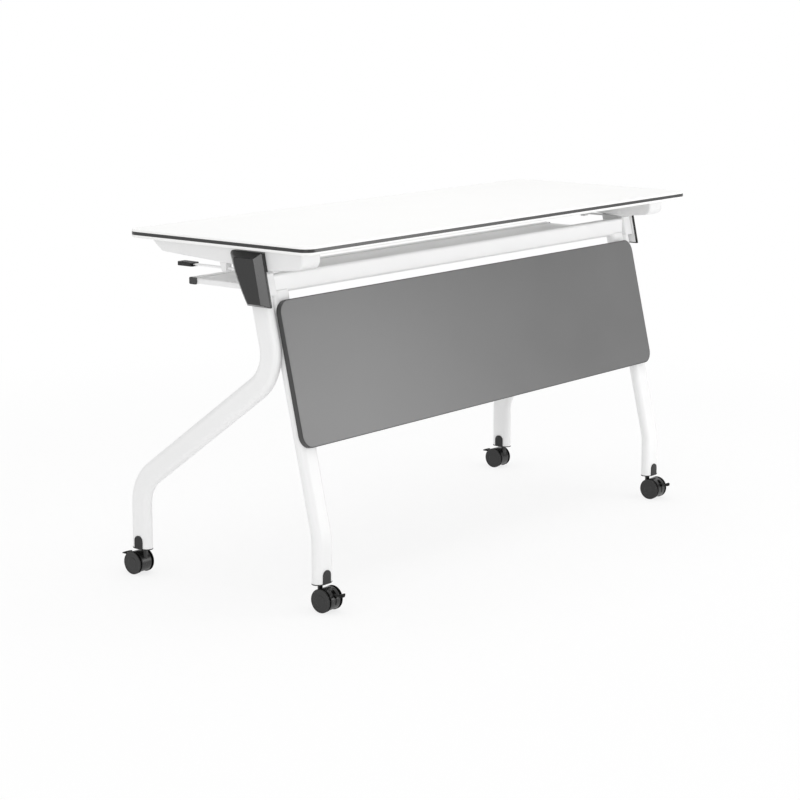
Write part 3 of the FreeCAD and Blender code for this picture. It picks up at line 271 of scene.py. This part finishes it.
# Moulded nylon wheel: near black, satin, faintly clouded where the melt flowed.
# The cloud is about 0.5 mm, drawn at 2.5 mm.
WHEEL = Finish("charcoal_wheel_nylon", "#1c1c1c", roughness=0.3, grain=Grain.CLOUDED, grain_mm=0.5,
               coarser=5, depth_mm=0.05, tint=0.1, tint_mm=12.0)
# Soft polyurethane tread moulded round the wheel: blacker and duller than the disc. Its near-black colour and
# low IOR are partly the tread's own black and partly painted shade of the deep gap between wheel and hood.
# Its pebble is about 0.4 mm, drawn at 1.6 mm.
TREAD = Finish("black_polyurethane_tread", "#040404", roughness=0.85, grain=Grain.PEBBLED, grain_mm=0.4,
               coarser=4, depth_mm=0.05, ior=1.12, tint=0.1, tint_mm=10.0)
# Glass-filled nylon with a coarse matt texture against slipping shoes: black, with hardly any sheen,
# hence the low IOR. The texture is about 0.45 mm, drawn at 1.8 mm.
PEDAL = Finish("black_textured_pedal_nylon", "#141414", roughness=0.75, grain=Grain.PEBBLED, grain_mm=0.45,
               coarser=4, depth_mm=0.12, ior=1.35, tint=0.1, tint_mm=9.0)
# Polyamide plug, straight from the mould: black, dull, with a faint cloud of about 0.5 mm, drawn at 2 mm.
PLUG = Finish("black_polyamide_plug", "#1c1c1c", roughness=0.5, grain=Grain.CLOUDED, grain_mm=0.5,
              coarser=4, depth_mm=0.05, tint=0.1, tint_mm=12.0)
# Zinc plate, passivated: bright grey metal with a slight cloud of about 0.4 mm, drawn at 2 mm.
ZINC = Finish("zinc_plated_steel", "#c3c6ca", roughness=0.34, grain=Grain.CLOUDED, grain_mm=0.4,
              coarser=5, depth_mm=0.02, metallic=1.0, tint=0.12, tint_mm=8.0)
# Moulded rubber: dull black, with a bloom of about 0.45 mm, drawn at 1.8 mm.
RUBBER = Finish("black_moulded_rubber", "#1c1c1c", roughness=0.8, grain=Grain.PEBBLED, grain_mm=0.45,
                coarser=4, depth_mm=0.1)


class Part(Enum):
    """What the tools pick on a mesh."""

    FACES = "FACE"
    EDGES = "EDGE"


class Blank:
    """A mesh under the tools, from its first primitive to the finished piece."""

    def __init__(self, piece: bpy.types.Object) -> None:
        """Takes up a mesh object."""
        self.piece = piece

    @staticmethod
    def _clear() -> None:
        """Leaves edit mode with nothing selected."""
        if bpy.context.mode != "OBJECT":
            bpy.ops.object.mode_set(mode="OBJECT")
        bpy.ops.object.select_all(action="DESELECT")

    @classmethod
    def _added(cls, name: str) -> "Blank":
        """Names the primitive that was just added, and puts its place into its mesh.

        Args:
            name: piece's name.

        Returns:
            The new blank.
        """
        bpy.context.active_object.name = name
        bpy.ops.object.transform_apply(location=True, rotation=True, scale=True)
        return cls(bpy.context.active_object)

    @classmethod
    def block(cls, name: str, low: Vector, high: Vector) -> "Blank":
        """Starts from a cube between two corners.

        Args:
            name: piece's name.
            low: lowest corner in metres.
            high: highest corner in metres.

        Returns:
            The new blank.
        """
        cls._clear()
        bpy.ops.mesh.primitive_cube_add(size=1.0, location=(low + high) / 2)
        bpy.context.active_object.scale = high - low
        return cls._added(name)

    @classmethod
    def disc(cls, name: str, radius: float, depth: float, centre: Vector, axis: Vector,
             sides: int, ends: bool = True) -> "Blank":
        """Starts from a cylinder.

        Args:
            name: piece's name.
            radius: radius in metres.
            depth: length along the axis in metres.
            centre: middle of the cylinder.
            axis: direction of the cylinder's axis.
            sides: number of sides.
            ends: whether its ends are closed.

        Returns:
            The new blank.
        """
        cls._clear()
        bpy.ops.mesh.primitive_cylinder_add(vertices=sides, radius=radius, depth=depth, location=centre,
                                            end_fill_type="NGON" if ends else "NOTHING",
                                            rotation=axis.to_track_quat("Z", "Y").to_euler())
        return cls._added(name)

    def mode(self, name: str) -> None:
        """Makes this piece the only selected one, in edit or object mode.

        Args:
            name: EDIT or OBJECT.
        """
        if bpy.context.view_layer.objects.active is not self.piece or name == "OBJECT":
            self._clear()
            self.piece.select_set(True)
            bpy.context.view_layer.objects.active = self.piece
        if self.piece.mode != name:
            bpy.ops.object.mode_set(mode=name)

    def pick(self, part: Part, test: Test) -> "Blank":
        """Selects faces or edges, and nothing else.

        Args:
            part: what is picked.
            test: is given each one's middle and its direction, which is a normal or an edge's run.

        Returns:
            This blank, in edit mode.
        """
        self.mode("EDIT")
        bpy.ops.mesh.select_mode(type=part.value)
        bpy.ops.mesh.select_all(action="DESELECT")
        mesh = bmesh.from_edit_mesh(self.piece.data)
        if part is Part.FACES:
            found = [(f, f.calc_center_median(), f.normal) for f in mesh.faces]
        else:
            found = [(e, (e.verts[0].co + e.verts[1].co) / 2, (e.verts[1].co - e.verts[0].co).normalized())
                     for e in mesh.edges]
        for element, middle, direction in found:
            if test(middle, direction):
                element.select_set(True)
        mesh.select_flush_mode()
        bmesh.update_edit_mesh(self.piece.data)
        return self

    def every(self) -> None:
        """Selects the whole mesh."""
        self.mode("EDIT")
        bpy.ops.mesh.select_all(action="SELECT")

    def bevel(self, width: float, steps: int) -> "Blank":
        """Rounds the picked edges by a width in metres."""
        bpy.ops.mesh.bevel(offset=width, segments=steps, profile=ROUND, affect="EDGES")
        return self

    def inset(self, width: float, depth: float = 0.0) -> "Blank":
        """Insets the picked faces, and lifts them by a depth."""
        bpy.ops.mesh.inset(thickness=width, depth=depth)
        return self

    def extrude(self, way: Vector) -> "Blank":
        """Extrudes what is picked along a vector."""
        bpy.ops.mesh.extrude_region_move(TRANSFORM_OT_translate={"value": way})
        return self

    def grow(self, factors: Vector, centre: Vector) -> "Blank":
        """Scales what is picked about a point."""
        bpy.ops.transform.resize(value=factors, center_override=centre)
        return self

    def open(self) -> "Blank":
        """Takes the picked faces away."""
        bpy.ops.mesh.delete(type="FACE")
        return self

    def soften(self, width_mm: float, angle_degrees: float = SOFT_DEGREES) -> "Blank":
        """Rounds every edge that turns by more than an angle."""
        return self.modify("BEVEL", width=width_mm * MM, segments=SOFT_STEPS, limit_method="ANGLE",
                           angle_limit=math.radians(angle_degrees))

    def modify(self, kind: str, **settings: object) -> "Blank":
        """Adds a modifier with its settings, and applies it.

        Args:
            kind: the modifier's type.
            settings: its properties.

        Returns:
            This blank, in object mode.
        """
        self.mode("OBJECT")
        modifier = self.piece.modifiers.new(kind.lower(), kind)
        for name, value in settings.items():
            setattr(modifier, name, value)
        bpy.ops.object.modifier_apply(modifier=modifier.name)
        return self

    def drill(self, cutter: "Blank") -> "Blank":
        """Takes another blank's shape out of this one, and throws the cutter away.

        Args:
            cutter: the shape to take out.

        Returns:
            This blank.
        """
        self.modify("BOOLEAN", object=cutter.piece, operation="DIFFERENCE", solver="EXACT")
        bpy.data.objects.remove(cutter.piece)
        return self

    def join(self, others: Iterable["Blank"]) -> "Blank":
        """Makes other blanks part of this mesh.

        Args:
            others: the blanks that go into it.

        Returns:
            This blank.
        """
        self.mode("OBJECT")
        for other in others:
            other.piece.select_set(True)
        bpy.ops.object.join()
        return self

    def copied(self, name: str, place: Matrix) -> "Blank":
        """Copies this blank with a mesh of its own.

        Args:
            name: the copy's name.
            place: where the copy goes; a mirror image has its normals turned outwards again.

        Returns:
            The copy.
        """
        self.mode("OBJECT")
        bpy.ops.object.duplicate(linked=False)
        copy = Blank(bpy.context.active_object)
        copy.piece.name = name
        copy.settle(place)
        if place.determinant() < 0:
            copy.every()
            bpy.ops.mesh.normals_make_consistent(inside=False)
        copy.mode("OBJECT")
        return copy

    def settle(self, place: Matrix) -> "Blank":
        """Moves the piece, and leaves it at the origin with its place in the mesh.

        Args:
            place: where the piece goes.

        Returns:
            This blank.
        """
        self.mode("OBJECT")
        self.piece.matrix_world = place
        bpy.ops.object.transform_apply(location=True, rotation=True, scale=True)
        return self

    def scrap(self) -> None:
        """Throws the blank away."""
        self.mode("OBJECT")
        bpy.data.objects.remove(self.piece)

    def finish(self, finish: Finish, body: str, slot: str, *nodes: str) -> None:
        """Cleans, smooths and dresses the piece, and sets it on its body.

        Args:
            finish: its surface.
            body: the body that it moves with.
            slot: the record's material slot; not used.
            nodes: the solids that it stands for.
        """
        self.every()
        bpy.ops.mesh.remove_doubles(threshold=WELD_MM * MM)
        bpy.ops.mesh.dissolve_degenerate(threshold=WELD_MM * MM)
        self.mode("OBJECT")
        bpy.ops.object.shade_smooth_by_angle(angle=SMOOTH_ANGLE)
        self.modify("WEIGHTED_NORMAL", keep_sharp=True)
        self.piece.data.name = self.piece.name
        self.piece.data.materials.clear()
        self.piece.data.materials.append(finish.material())
        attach(self.piece, body)
        if nodes:
            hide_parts(*nodes)
        LOG.info("%s on %s, %s, %d faces", self.piece.name, body, finish.name, len(self.piece.data.polygons))


def dress(finish: Finish, *nodes: str) -> None:
    """Gives solids that keep their shape a finish.

    Args:
        finish: surface that they get.
        nodes: the solids' names.
    """
    for name in nodes:
        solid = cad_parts[name]
        solid.data.materials.clear()
        solid.data.materials.append(finish.material())
        LOG.info("%s keeps its solid, %s", name, finish.name)


class Side(Enum):
    """The table's two ends, with the sign of X there."""

    LEFT = -1
    RIGHT = 1

    @property
    def word(self) -> str:
        """The end's name as the solids use it."""
        return self.name.lower()


CORNERS = tuple(f"{end}_{side.word}" for end in ("front", "rear") for side in Side)


@dataclass
class TopBoard:
    """Board and its edge strip."""

    def build(self) -> None:
        """Dresses the board and the strip."""
        dress(LAMINATE, "tabletop")
        dress(EDGING, "edge_band")


@dataclass(frozen=True)
class SocketScrew:
    """A screw with a domed head and a hexagon socket, in millimetres."""

    head_radius: float
    head_height: float
    shank_radius: float
    shank_length: float
    key_radius: float = 2.3
    key_depth: float = 1.6
    dome_share: float = 0.45
    dome_steps: int = 4
    sides: int = 32

    def build(self, name: str) -> Blank:
        """Models the screw with its seat at the origin, head below and shank above.

        Args:
            name: the mesh's name.

        Returns:
            The screw.
        """
        head = self.head_height * MM
        centre = mm(0, 0, -self.head_height / 2)
        screw = Blank.disc(name, self.head_radius * MM, head, centre, Z_WAY, self.sides)
        screw.pick(Part.FACES, facing(Z_WAY))
        screw.inset((self.head_radius - self.shank_radius) * MM).extrude(mm(0, 0, self.shank_length))
        screw.pick(Part.EDGES, end_rim(-Z_WAY, head)).bevel(head * self.dome_share, self.dome_steps)
        # The cutter is centred on the head's end, so half of it cuts.
        key = Blank.disc("key", self.key_radius * MM, 2 * self.key_depth * MM, -head * Z_WAY, Z_WAY, HEXAGON)
        return screw.drill(key)

    def group(self, name: str, places: Iterable[Matrix]) -> Blank:
        """Models the screw once and sets copies of it at several places, as one piece.

        Args:
            name: the group's name.
            places: seat of each copy.

        Returns:
            The group.
        """
        model = self.build("screw_model")
        first, *others = [model.copied(f"{name}_{i}", place) for i, place in enumerate(places)]
        model.scrap()
        first.join(others)
        first.piece.name = name
        return first


@dataclass
class FlipArms:
    """Boat-shaped arms under the board, with their pins and screws, in millimetres."""

    screw: SocketScrew = SocketScrew(head_radius=4.5, head_height=3.0, shank_radius=2.5, shank_length=15.0)
    screw_x: float = 621.5
    screw_ys: tuple[float, ...] = (-201.0, -9.0, 121.0)
    seat_z: float = 733.0

    def build(self) -> None:
        """Dresses the arms, pins and guides, and builds the screws."""
        for side in Side:
            dress(CAST_COAT, f"support_arm_{side.word}", f"rod_guide_{side.word}")
            dress(POWDER_COAT, f"hinge_pin_{side.word}")
        seats = [mm(side.value * self.screw_x, y, self.seat_z) for side in Side for y in self.screw_ys]
        screws = self.screw.group("arm_socket_screws", [Matrix.Translation(seat) for seat in seats])
        screws.finish(ZINC, "top", "zinc_plated_steel", "arm_screws")


@dataclass
class PullLatch:
    """Pull rods with their finger grips, in millimetres; overcut is how far a cutter reaches past a grip."""

    corner: float = 5.0
    corner_steps: int = 6
    edge: float = 0.9
    edge_steps: int = 3
    lip_length: float = 5.0
    lip_thickness: float = 2.5
    toe_thickness: float = 1.6
    first_groove: float = 17.0
    groove_pitch: float = 5.0
    grooves: int = 5
    groove_width: float = 1.6
    groove_depth: float = 0.6
    overcut: float = 1.0

    def grip(self, side: Side) -> Blank:
        """Models a grip: a rounded plate with a mouth in front and grooves across its top.

        Args:
            side: end of the table.

        Returns:
            The grip.
        """
        low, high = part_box(f"pull_grip_{side.word}")
        past = self.overcut
        grip = Blank.block(f"finger_grip_{side.word}", low, high)
        grip.pick(Part.EDGES, along(Z_WAY)).bevel(self.corner * MM, self.corner_steps)
        grip.pick(Part.EDGES, square_to(Z_WAY)).bevel(self.edge * MM, self.edge_steps)
        start = low + mm(-past, -past, self.toe_thickness)
        end = Vector((high.x, low.y, high.z)) + mm(past, self.lip_length, -self.lip_thickness)
        grip.drill(Blank.block("mouth", start, end))
        for number in range(self.grooves):
            y = self.first_groove + number * self.groove_pitch
            start = Vector((low.x, low.y + (y - self.groove_width / 2) * MM, high.z - self.groove_depth * MM))
            end = Vector((high.x, low.y + (y + self.groove_width / 2) * MM, high.z))
            grip.drill(Blank.block("groove", start - mm(past, 0, 0), end + mm(past, 0, past)))
        return grip

    def build(self) -> None:
        """Dresses the rods and builds the grips."""
        for side in Side:
            dress(POWDER_COAT, f"latch_rod_{side.word}")
            grip = self.grip(side)
            # The grip's blacker colour is painted shade from under the board.
            grip.finish(GRIP, f"latch_{side.word}", "black_plastic", f"pull_grip_{side.word}")


@dataclass
class LegFrames:
    """Two end frames: bent legs, cast brackets and black hinge covers."""

    def build(self) -> None:
        """Dresses the legs, brackets, covers and stop pads."""
        for side in Side:
            dress(POWDER_COAT, f"rear_leg_{side.word}", f"front_leg_{side.word}")
            dress(CAST_COAT, f"hinge_bracket_{side.word}")
            dress(MOULDED, f"hinge_cover_{side.word}")
        dress(RUBBER, "stop_pads")


@dataclass
class Shelf:
    """Crossbeam and book shelf, with the rear tube's end caps in millimetres."""

    cap_lip: float = 4.0
    cap_plug: float = 12.0
    cap_wall: float = 1.4
    cap_corner: float = 3.0
    cap_corner_steps: int = 5
    cap_frame: float = 1.6
    cap_recess: float = 0.7
    cap_edge: float = 0.35

    def end_cap(self) -> Blank:
        """Models the right end's cap: rounded, with a framed recess outside and a plug inside.

        Returns:
            The cap.
        """
        low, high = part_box("tray_end_caps")
        start = Vector((high.x - self.cap_lip * MM, low.y, low.z))
        cap = Blank.block("tray_tube_caps", start, high)
        cap.pick(Part.EDGES, along(X_WAY)).bevel(self.cap_corner * MM, self.cap_corner_steps)
        cap.pick(Part.FACES, facing(-X_WAY)).inset(self.cap_wall * MM).extrude(mm(-self.cap_plug, 0, 0))
        cap.pick(Part.FACES, facing(X_WAY)).inset(self.cap_frame * MM)
        cap.inset(self.cap_recess * MM, -self.cap_recess * MM)
        return cap.soften(self.cap_edge)

    def build(self) -> None:
        """Dresses beam, rails, sheet and tube, and builds the end caps."""
        dress(POWDER_COAT, "crossbeam", "tray_shelf", "tray_rear_tube")
        for side in Side:
            dress(POWDER_COAT, f"tray_rail_{side.word}")
        cap = self.end_cap()
        cap.join([cap.copied("left_cap", Matrix.Scale(-1, 4, X_WAY))])
        cap.finish(CAP, "frame", "black_plastic", "tray_end_caps")


@dataclass
class FrontPanel:
    """Leaning panel across the front legs, in millimetres: faced board, edging strip and screws."""

    width: float = 1291.0
    height: float = 304.0
    thickness: float = 12.0
    corner: float = 28.0
    corner_steps: int = 12
    strip: float = 1.6
    strip_edge: float = 0.7
    board_edge: float = 0.2
    edge_degrees: float = 60.0
    lean_degrees: float = 13.0
    top_edge: tuple[float, float, float] = (0.0, -153.3, 632.0)
    screw: SocketScrew = SocketScrew(head_radius=5.0, head_height=2.5, shank_radius=2.5, shank_length=33.0)
    screw_x: float = 615.8
    screw_depth: float = 37.0
    screw_falls: tuple[float, ...] = (45.0, 150.0)

    def place(self) -> Matrix:
        """Where the middle of the panel's upper front edge is, and how it leans."""
        lean = Matrix.Rotation(math.radians(-self.lean_degrees), 4, "X")
        return Matrix.Translation(mm(*self.top_edge)) @ lean

    def slab(self, name: str, inset: float) -> Blank:
        """Models an upright board with rounded corners.

        Args:
            name: the mesh's name.
            inset: how far it is drawn in all round, in millimetres.

        Returns:
            The board, before it is leant back.
        """
        low = mm(inset - self.width / 2, 0, inset - self.height)
        slab = Blank.block(name, low, mm(self.width / 2 - inset, self.thickness, -inset))
        return slab.pick(Part.EDGES, along(Y_WAY)).bevel((self.corner - inset) * MM, self.corner_steps)

    def build(self) -> None:
        """Builds the board, the strip round it and the screws behind it."""
        place = self.place()
        board = self.slab("panel_board", self.strip).soften(self.board_edge, self.edge_degrees)
        board.settle(place).finish(MELAMINE, "frame", "grey_board", "modesty_panel")
        strip = self.slab("panel_edging", 0.0).pick(Part.FACES, along(Y_WAY)).open()
        strip.modify("SOLIDIFY", thickness=self.strip * MM, offset=INWARDS)
        strip.soften(self.strip_edge, self.edge_degrees)
        strip.settle(place).finish(BOARD_EDGING, "frame", "grey_board")
        turn = Matrix.Rotation(QUARTER_TURN, 4, "X")
        seats = [mm(side.value * self.screw_x, self.screw_depth, -fall)
                 for side in Side for fall in self.screw_falls]
        places = [place @ Matrix.Translation(seat) @ turn for seat in seats]
        screws = self.screw.group("panel_socket_screws", places)
        screws.finish(ZINC, "frame", "zinc_plated_steel", "panel_screws")


@dataclass
class Castors:
    """Four hooded castors with two wheels and a brake pedal each, in millimetres.

    A pedal's places are given from the floor below its wheel axle, with the wing towards -Y.
    The field neck is half of the neck's width.
    """

    wheel_radius: float = 25.0
    wheel_width: float = 6.0
    wheel_sides: int = 72
    tread: float = 3.4
    tread_width: float = 4.2
    tread_round: float = 1.0
    shoulder: float = 1.3
    round_steps: int = 5
    rim: float = 1.6
    dish: float = 0.6
    web: float = 9.5
    hub_rise: float = 0.4
    disc_edge: float = 0.18
    disc_edge_degrees: float = 20.0
    wing_y: tuple[float, float] = (-44.0, -30.5)
    wing_z: tuple[float, float] = (36.0, 39.0)
    wing_runs: tuple[tuple[float, float, float], ...] = ((5.0, 0.3, 1.25), (4.3, 0.95, 1.1))
    wing_shares: tuple[tuple[float, float, float], ...] = ((1.0, 0.63, 0.75), (1.0, 0.36, 0.55))
    wing_edge: float = 0.6
    wing_edge_degrees: float = 15.0
    neck: float = 4.5
    neck_low: float = 36.0
    neck_overlap: float = 2.0
    neck_edge: float = 0.4
    pivot: tuple[float, float] = (-17.0, 36.0)
    barrel_radius: float = 3.0
    barrel_sides: int = 32
    stub_radius: float = 1.5
    stub_length: float = 25.7
    ridge_ys: tuple[float, ...] = (-41.5, -38.5, -35.5)
    ridge_radius: float = 0.7
    round_edge: float = 0.3
    small_sides: int = 24

    def wheel_disc(self) -> Blank:
        """Models a wheel's disc about its own centre, with its dished and hubbed face towards +X.

        Returns:
            The disc: a face with a round shoulder, and behind it the core that carries the tread.
        """
        face = self.wheel_width - self.tread_width
        disc = Blank.disc("disc_model", self.wheel_radius * MM, face * MM, mm(self.tread_width / 2, 0, 0),
                          X_WAY, self.wheel_sides)
        disc.pick(Part.FACES, facing(-X_WAY)).inset(self.tread * MM).extrude(mm(-self.tread_width, 0, 0))
        disc.pick(Part.EDGES, end_rim(X_WAY, self.wheel_width / 2 * MM))
        disc.bevel(self.shoulder * MM, self.round_steps)
        disc.pick(Part.FACES, facing(X_WAY, FLAT)).inset(self.rim * MM)
        disc.inset(self.dish * MM, -self.dish * MM)
        disc.inset(self.web * MM).inset(self.hub_rise * MM, self.hub_rise * MM)
        return disc.soften(self.disc_edge, self.disc_edge_degrees)

    def wheel_tread(self) -> Blank:
        """Models a wheel's tread: a ring with rounded outer edges.

        Returns:
            The tread, about its own centre.
        """
        radius = self.wheel_radius * MM
        least = radius - NEAR_MM * MM
        back = mm((self.tread_width - self.wheel_width) / 2, 0, 0)
        ring = Blank.disc("tread_model", radius, self.tread_width * MM, back, X_WAY, self.wheel_sides,
                          ends=False)
        ring.modify("SOLIDIFY", thickness=self.tread * MM, offset=INWARDS)
        ring.pick(Part.EDGES, lambda middle, run: middle.yz.length > least and abs(run.x) < SQUARE)
        return ring.bevel(self.tread_round * MM, self.round_steps)

    def pedal(self) -> Blank:
        """Models a brake pedal for a wheel axle above the origin, with its wing towards -Y.

        Returns:
            The pedal: a wing drawn out to thin lifted tips, grip ridges, a neck and its pivot.
        """
        (toe, root), (low, top) = self.wing_y, self.wing_z
        wing = Blank.block("pedal_model", mm(0, toe, low), mm(self.neck, root, top))
        wing.pick(Part.FACES, facing(-X_WAY)).open()
        wing.pick(Part.FACES, facing(X_WAY))
        tip = mm(self.neck, (toe + root) / 2, (low + top) / 2)
        for run, share in zip(self.wing_runs, self.wing_shares):
            tip += mm(*run)
            wing.extrude(mm(*run)).grow(Vector(share), tip)
        wing.modify("MIRROR", use_axis=(True, False, False)).soften(self.wing_edge, self.wing_edge_degrees)
        pivot = mm(0, *self.pivot)
        width = 2 * self.neck * MM
        start = mm(-self.neck, root - self.neck_overlap, self.neck_low)
        neck = Blank.block("neck", start, mm(self.neck, self.pivot[0], top)).soften(self.neck_edge)
        barrel = Blank.disc("barrel", self.barrel_radius * MM, width, pivot, X_WAY, self.barrel_sides)
        stub = Blank.disc("stub", self.stub_radius * MM, self.stub_length * MM, pivot, X_WAY,
                          self.small_sides)
        ridges = [Blank.disc("ridge", self.ridge_radius * MM, width, mm(0, y, top), X_WAY, self.small_sides)
                  for y in self.ridge_ys]
        for rounded in (barrel, *ridges):
            rounded.soften(self.round_edge)
        return wing.join([neck, barrel, stub, *ridges])

    def wheels(self, corner: str, disc: Blank, tread: Blank) -> None:
        """Sets a castor's two wheels in their places, dished face outwards.

        Args:
            corner: which castor.
            disc: model of the disc.
            tread: model of the tread.
        """
        body, slot = f"wheels_{corner}", "castor_wheel_nylon"
        hood_low, hood_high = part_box(f"castor_body_{corner}")
        for which in ("outer", "inner"):
            low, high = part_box(f"wheel_{which}_{corner}")
            centre = (low + high) / 2
            outwards = 1 if centre.x > (hood_low.x + hood_high.x) / 2 else -1
            place = Matrix.Translation(centre) @ Matrix.Diagonal((outwards, 1, 1, 1))
            wheel = disc.copied(f"wheel_disc_{which}_{corner}", place)
            wheel.finish(WHEEL, body, slot, f"wheel_{which}_{corner}")
            # The tread's near-black finish is also painted shade of the gap between wheel and hood.
            tread.copied(f"wheel_tread_{which}_{corner}", place).finish(TREAD, body, slot)

    def build(self) -> None:
        """Builds wheels and pedals, and dresses every castor's other pieces."""
        disc, tread, pedal = self.wheel_disc(), self.wheel_tread(), self.pedal()
        for corner in CORNERS:
            dress(PLUG, f"leg_plug_{corner}")
            dress(HOOD, f"castor_body_{corner}")
            dress(ZINC, f"axle_{corner}")
            self.wheels(corner, disc, tread)
            low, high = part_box(f"axle_{corner}")
            below_axle = Vector(((low.x + high.x) / 2, (low.y + high.y) / 2, 0))
            turn = Matrix.Rotation(HALF_TURN if corner.startswith("rear") else 0.0, 4, "Z")
            lever = pedal.copied(f"foot_pedal_{corner}", Matrix.Translation(below_axle) @ turn)
            lever.finish(PEDAL, f"brake_{corner}", "castor_hood_plastic", f"brake_pedal_{corner}")
        for model in (disc, tread, pedal):
            model.scrap()


@dataclass(frozen=True)
class Lamp:
    """A square soft box, with its place, aim and size in metres."""

    name: str
    place: tuple[float, float, float]
    aim: tuple[float, float, float]
    size: float
    watts: float

    def build(self) -> None:
        """Sets the lamp up, turned to its aim."""
        light = bpy.data.lights.new(self.name, "AREA")
        light.energy = self.watts
        light.size = self.size
        lamp = bpy.data.objects.new(self.name, light)
        lamp.location = self.place
        lamp.visible_camera = False
        lamp.rotation_euler = (Vector(self.aim) - Vector(self.place)).to_track_quat("-Z", "Y").to_euler()
        bpy.context.scene.collection.objects.link(lamp)


@dataclass
class Studio:
    """Pale floor, soft light and the camera, in metres apart from the lens."""

    camera_place: tuple[float, float, float] = (-3.841, -3.045, 1.290)
    yaw_degrees: float = 51.1
    pitch_degrees: float = 9.2
    lens_mm: float = 97.7
    sensor_mm: float = 36.0
    shift_up: float = -0.10
    sight: float = 300.0
    floor_radius: float = 120.0
    floor_sides: int = 96
    floor_colour: str = "#fcfcfc"
    shadow_share: float = 0.22
    shadow_inner: float = 1.1
    shadow_outer: float = 2.6
    ambient: float = 0.75
    room_sheen: float = 0.3
    backdrop_way: tuple[float, float, float] = (0.78, 0.61, 0.1)
    backdrop_edge: tuple[float, float] = (0.15, 0.8)
    lamps: tuple[Lamp, ...] = field(default_factory=lambda: (
        Lamp("camera_side", place=(-4.6, -3.4, 1.6), aim=(0.0, 0.0, 0.5), size=1.85, watts=50.0),
        Lamp("right_front", place=(1.6, -2.35, 0.6), aim=(-0.1, -0.2, 0.45), size=1.2, watts=15.0),
        Lamp("overhead", place=(0.0, 0.0, 3.4), aim=(0.0, 0.0, 0.7), size=2.6, watts=27.0),
    ))

    def build_floor(self) -> None:
        """Lays the floor: white to the eye, with a light shadow near the object."""
        bpy.ops.object.select_all(action="DESELECT")
        bpy.ops.mesh.primitive_circle_add(vertices=self.floor_sides, radius=self.floor_radius,
                                          fill_type="NGON")
        floor = bpy.context.active_object
        floor.name = "studio_floor"
        paint = bpy.data.materials.new("pale_studio_floor")
        paint.use_nodes = True
        tree = paint.node_tree
        tree.nodes.clear()
        place = add_node(tree, "ShaderNodeTexCoord").outputs["Object"]
        away = add_node(tree, "ShaderNodeVectorMath", {"operation": "LENGTH"}, {0: place}).outputs["Value"]
        fade = add_node(tree, "ShaderNodeMapRange", {"interpolation_type": "SMOOTHSTEP"}, {
            "Value": away, "From Min": self.shadow_inner, "From Max": self.shadow_outer,
            "To Min": 1 - self.shadow_share, "To Max": 1.0}).outputs["Result"]
        rays = add_node(tree, "ShaderNodeLightPath").outputs
        shown = add_node(tree, "ShaderNodeMath", {"operation": "MAXIMUM"},
                         {0: rays["Is Camera Ray"], 1: rays["Is Glossy Ray"]}).outputs[0]
        share = add_node(tree, "ShaderNodeMath", {"operation": "MULTIPLY"}, {0: fade, 1: shown}).outputs[0]
        matt = add_node(tree, "ShaderNodeBsdfDiffuse", None, {"Color": linear(self.floor_colour)})
        white = add_node(tree, "ShaderNodeEmission", None, {
            "Color": linear(WHITE), "Strength": WHITE_STRENGTH})
        mixed = add_node(tree, "ShaderNodeMixShader", None, {
            0: share, 1: matt.outputs["BSDF"], 2: white.outputs["Emission"]})
        add_node(tree, "ShaderNodeOutputMaterial", None, {"Surface": mixed.outputs["Shader"]})
        floor.data.materials.append(paint)

    def build_light(self) -> None:
        """Sets up the lamps and the world: white to the eye, and in a gloss white towards the backdrop."""
        world = bpy.data.worlds.new("soft_white_room")
        bpy.context.scene.world = world
        world.use_nodes = True
        tree = world.node_tree
        tree.nodes.clear()
        rays = add_node(tree, "ShaderNodeLightPath").outputs
        way = add_node(tree, "ShaderNodeTexCoord").outputs["Generated"]
        towards = add_node(tree, "ShaderNodeVectorMath", {"operation": "DOT_PRODUCT"},
                           {0: way, 1: Vector(self.backdrop_way).normalized()}).outputs["Value"]
        sheen = add_node(tree, "ShaderNodeMapRange", {"interpolation_type": "SMOOTHSTEP"}, {
            "Value": towards, "From Min": self.backdrop_edge[0], "From Max": self.backdrop_edge[1],
            "To Min": self.room_sheen, "To Max": WHITE_STRENGTH}).outputs["Result"]
        unseen = add_node(tree, "ShaderNodeMapRange", None, {
            "Value": rays["Is Glossy Ray"], "To Min": self.ambient, "To Max": sheen}).outputs["Result"]
        strength = add_node(tree, "ShaderNodeMapRange", None, {
            "Value": rays["Is Camera Ray"], "To Min": unseen, "To Max": WHITE_STRENGTH}).outputs["Result"]
        room = add_node(tree, "ShaderNodeBackground", None, {"Color": linear(WHITE), "Strength": strength})
        add_node(tree, "ShaderNodeOutputWorld", None, {"Surface": room.outputs["Background"]})
        for lamp in self.lamps:
            lamp.build()

    def build_camera(self) -> None:
        """Sets the camera at the photograph's view."""
        eye = bpy.data.cameras.new("eye")
        eye.sensor_width = self.sensor_mm
        eye.lens = self.lens_mm
        eye.shift_y = self.shift_up
        eye.clip_end = self.sight
        camera = bpy.data.objects.new("eye", eye)
        yaw, pitch = math.radians(self.yaw_degrees), math.radians(self.pitch_degrees)
        ahead = Vector((math.sin(yaw) * math.cos(pitch), math.cos(yaw) * math.cos(pitch), -math.sin(pitch)))
        camera.location = self.camera_place
        camera.rotation_euler = ahead.to_track_quat("-Z", "Y").to_euler()
        bpy.context.scene.collection.objects.link(camera)
        bpy.context.scene.camera = camera

    def build(self) -> None:
        """Builds floor, light and camera."""
        bpy.context.scene.view_settings.view_transform = "Standard"
        self.build_floor()
        self.build_light()
        self.build_camera()


def main() -> None:
    """Builds the table's looks and the studio round it."""
    logging.basicConfig(level=logging.INFO, format="%(message)s")
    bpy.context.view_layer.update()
    for assembly in (TopBoard(), FlipArms(), PullLatch(), LegFrames(), Shelf(), FrontPanel(), Castors()):
        assembly.build()
    Studio().build()


if __name__ == "__main__":
    main()
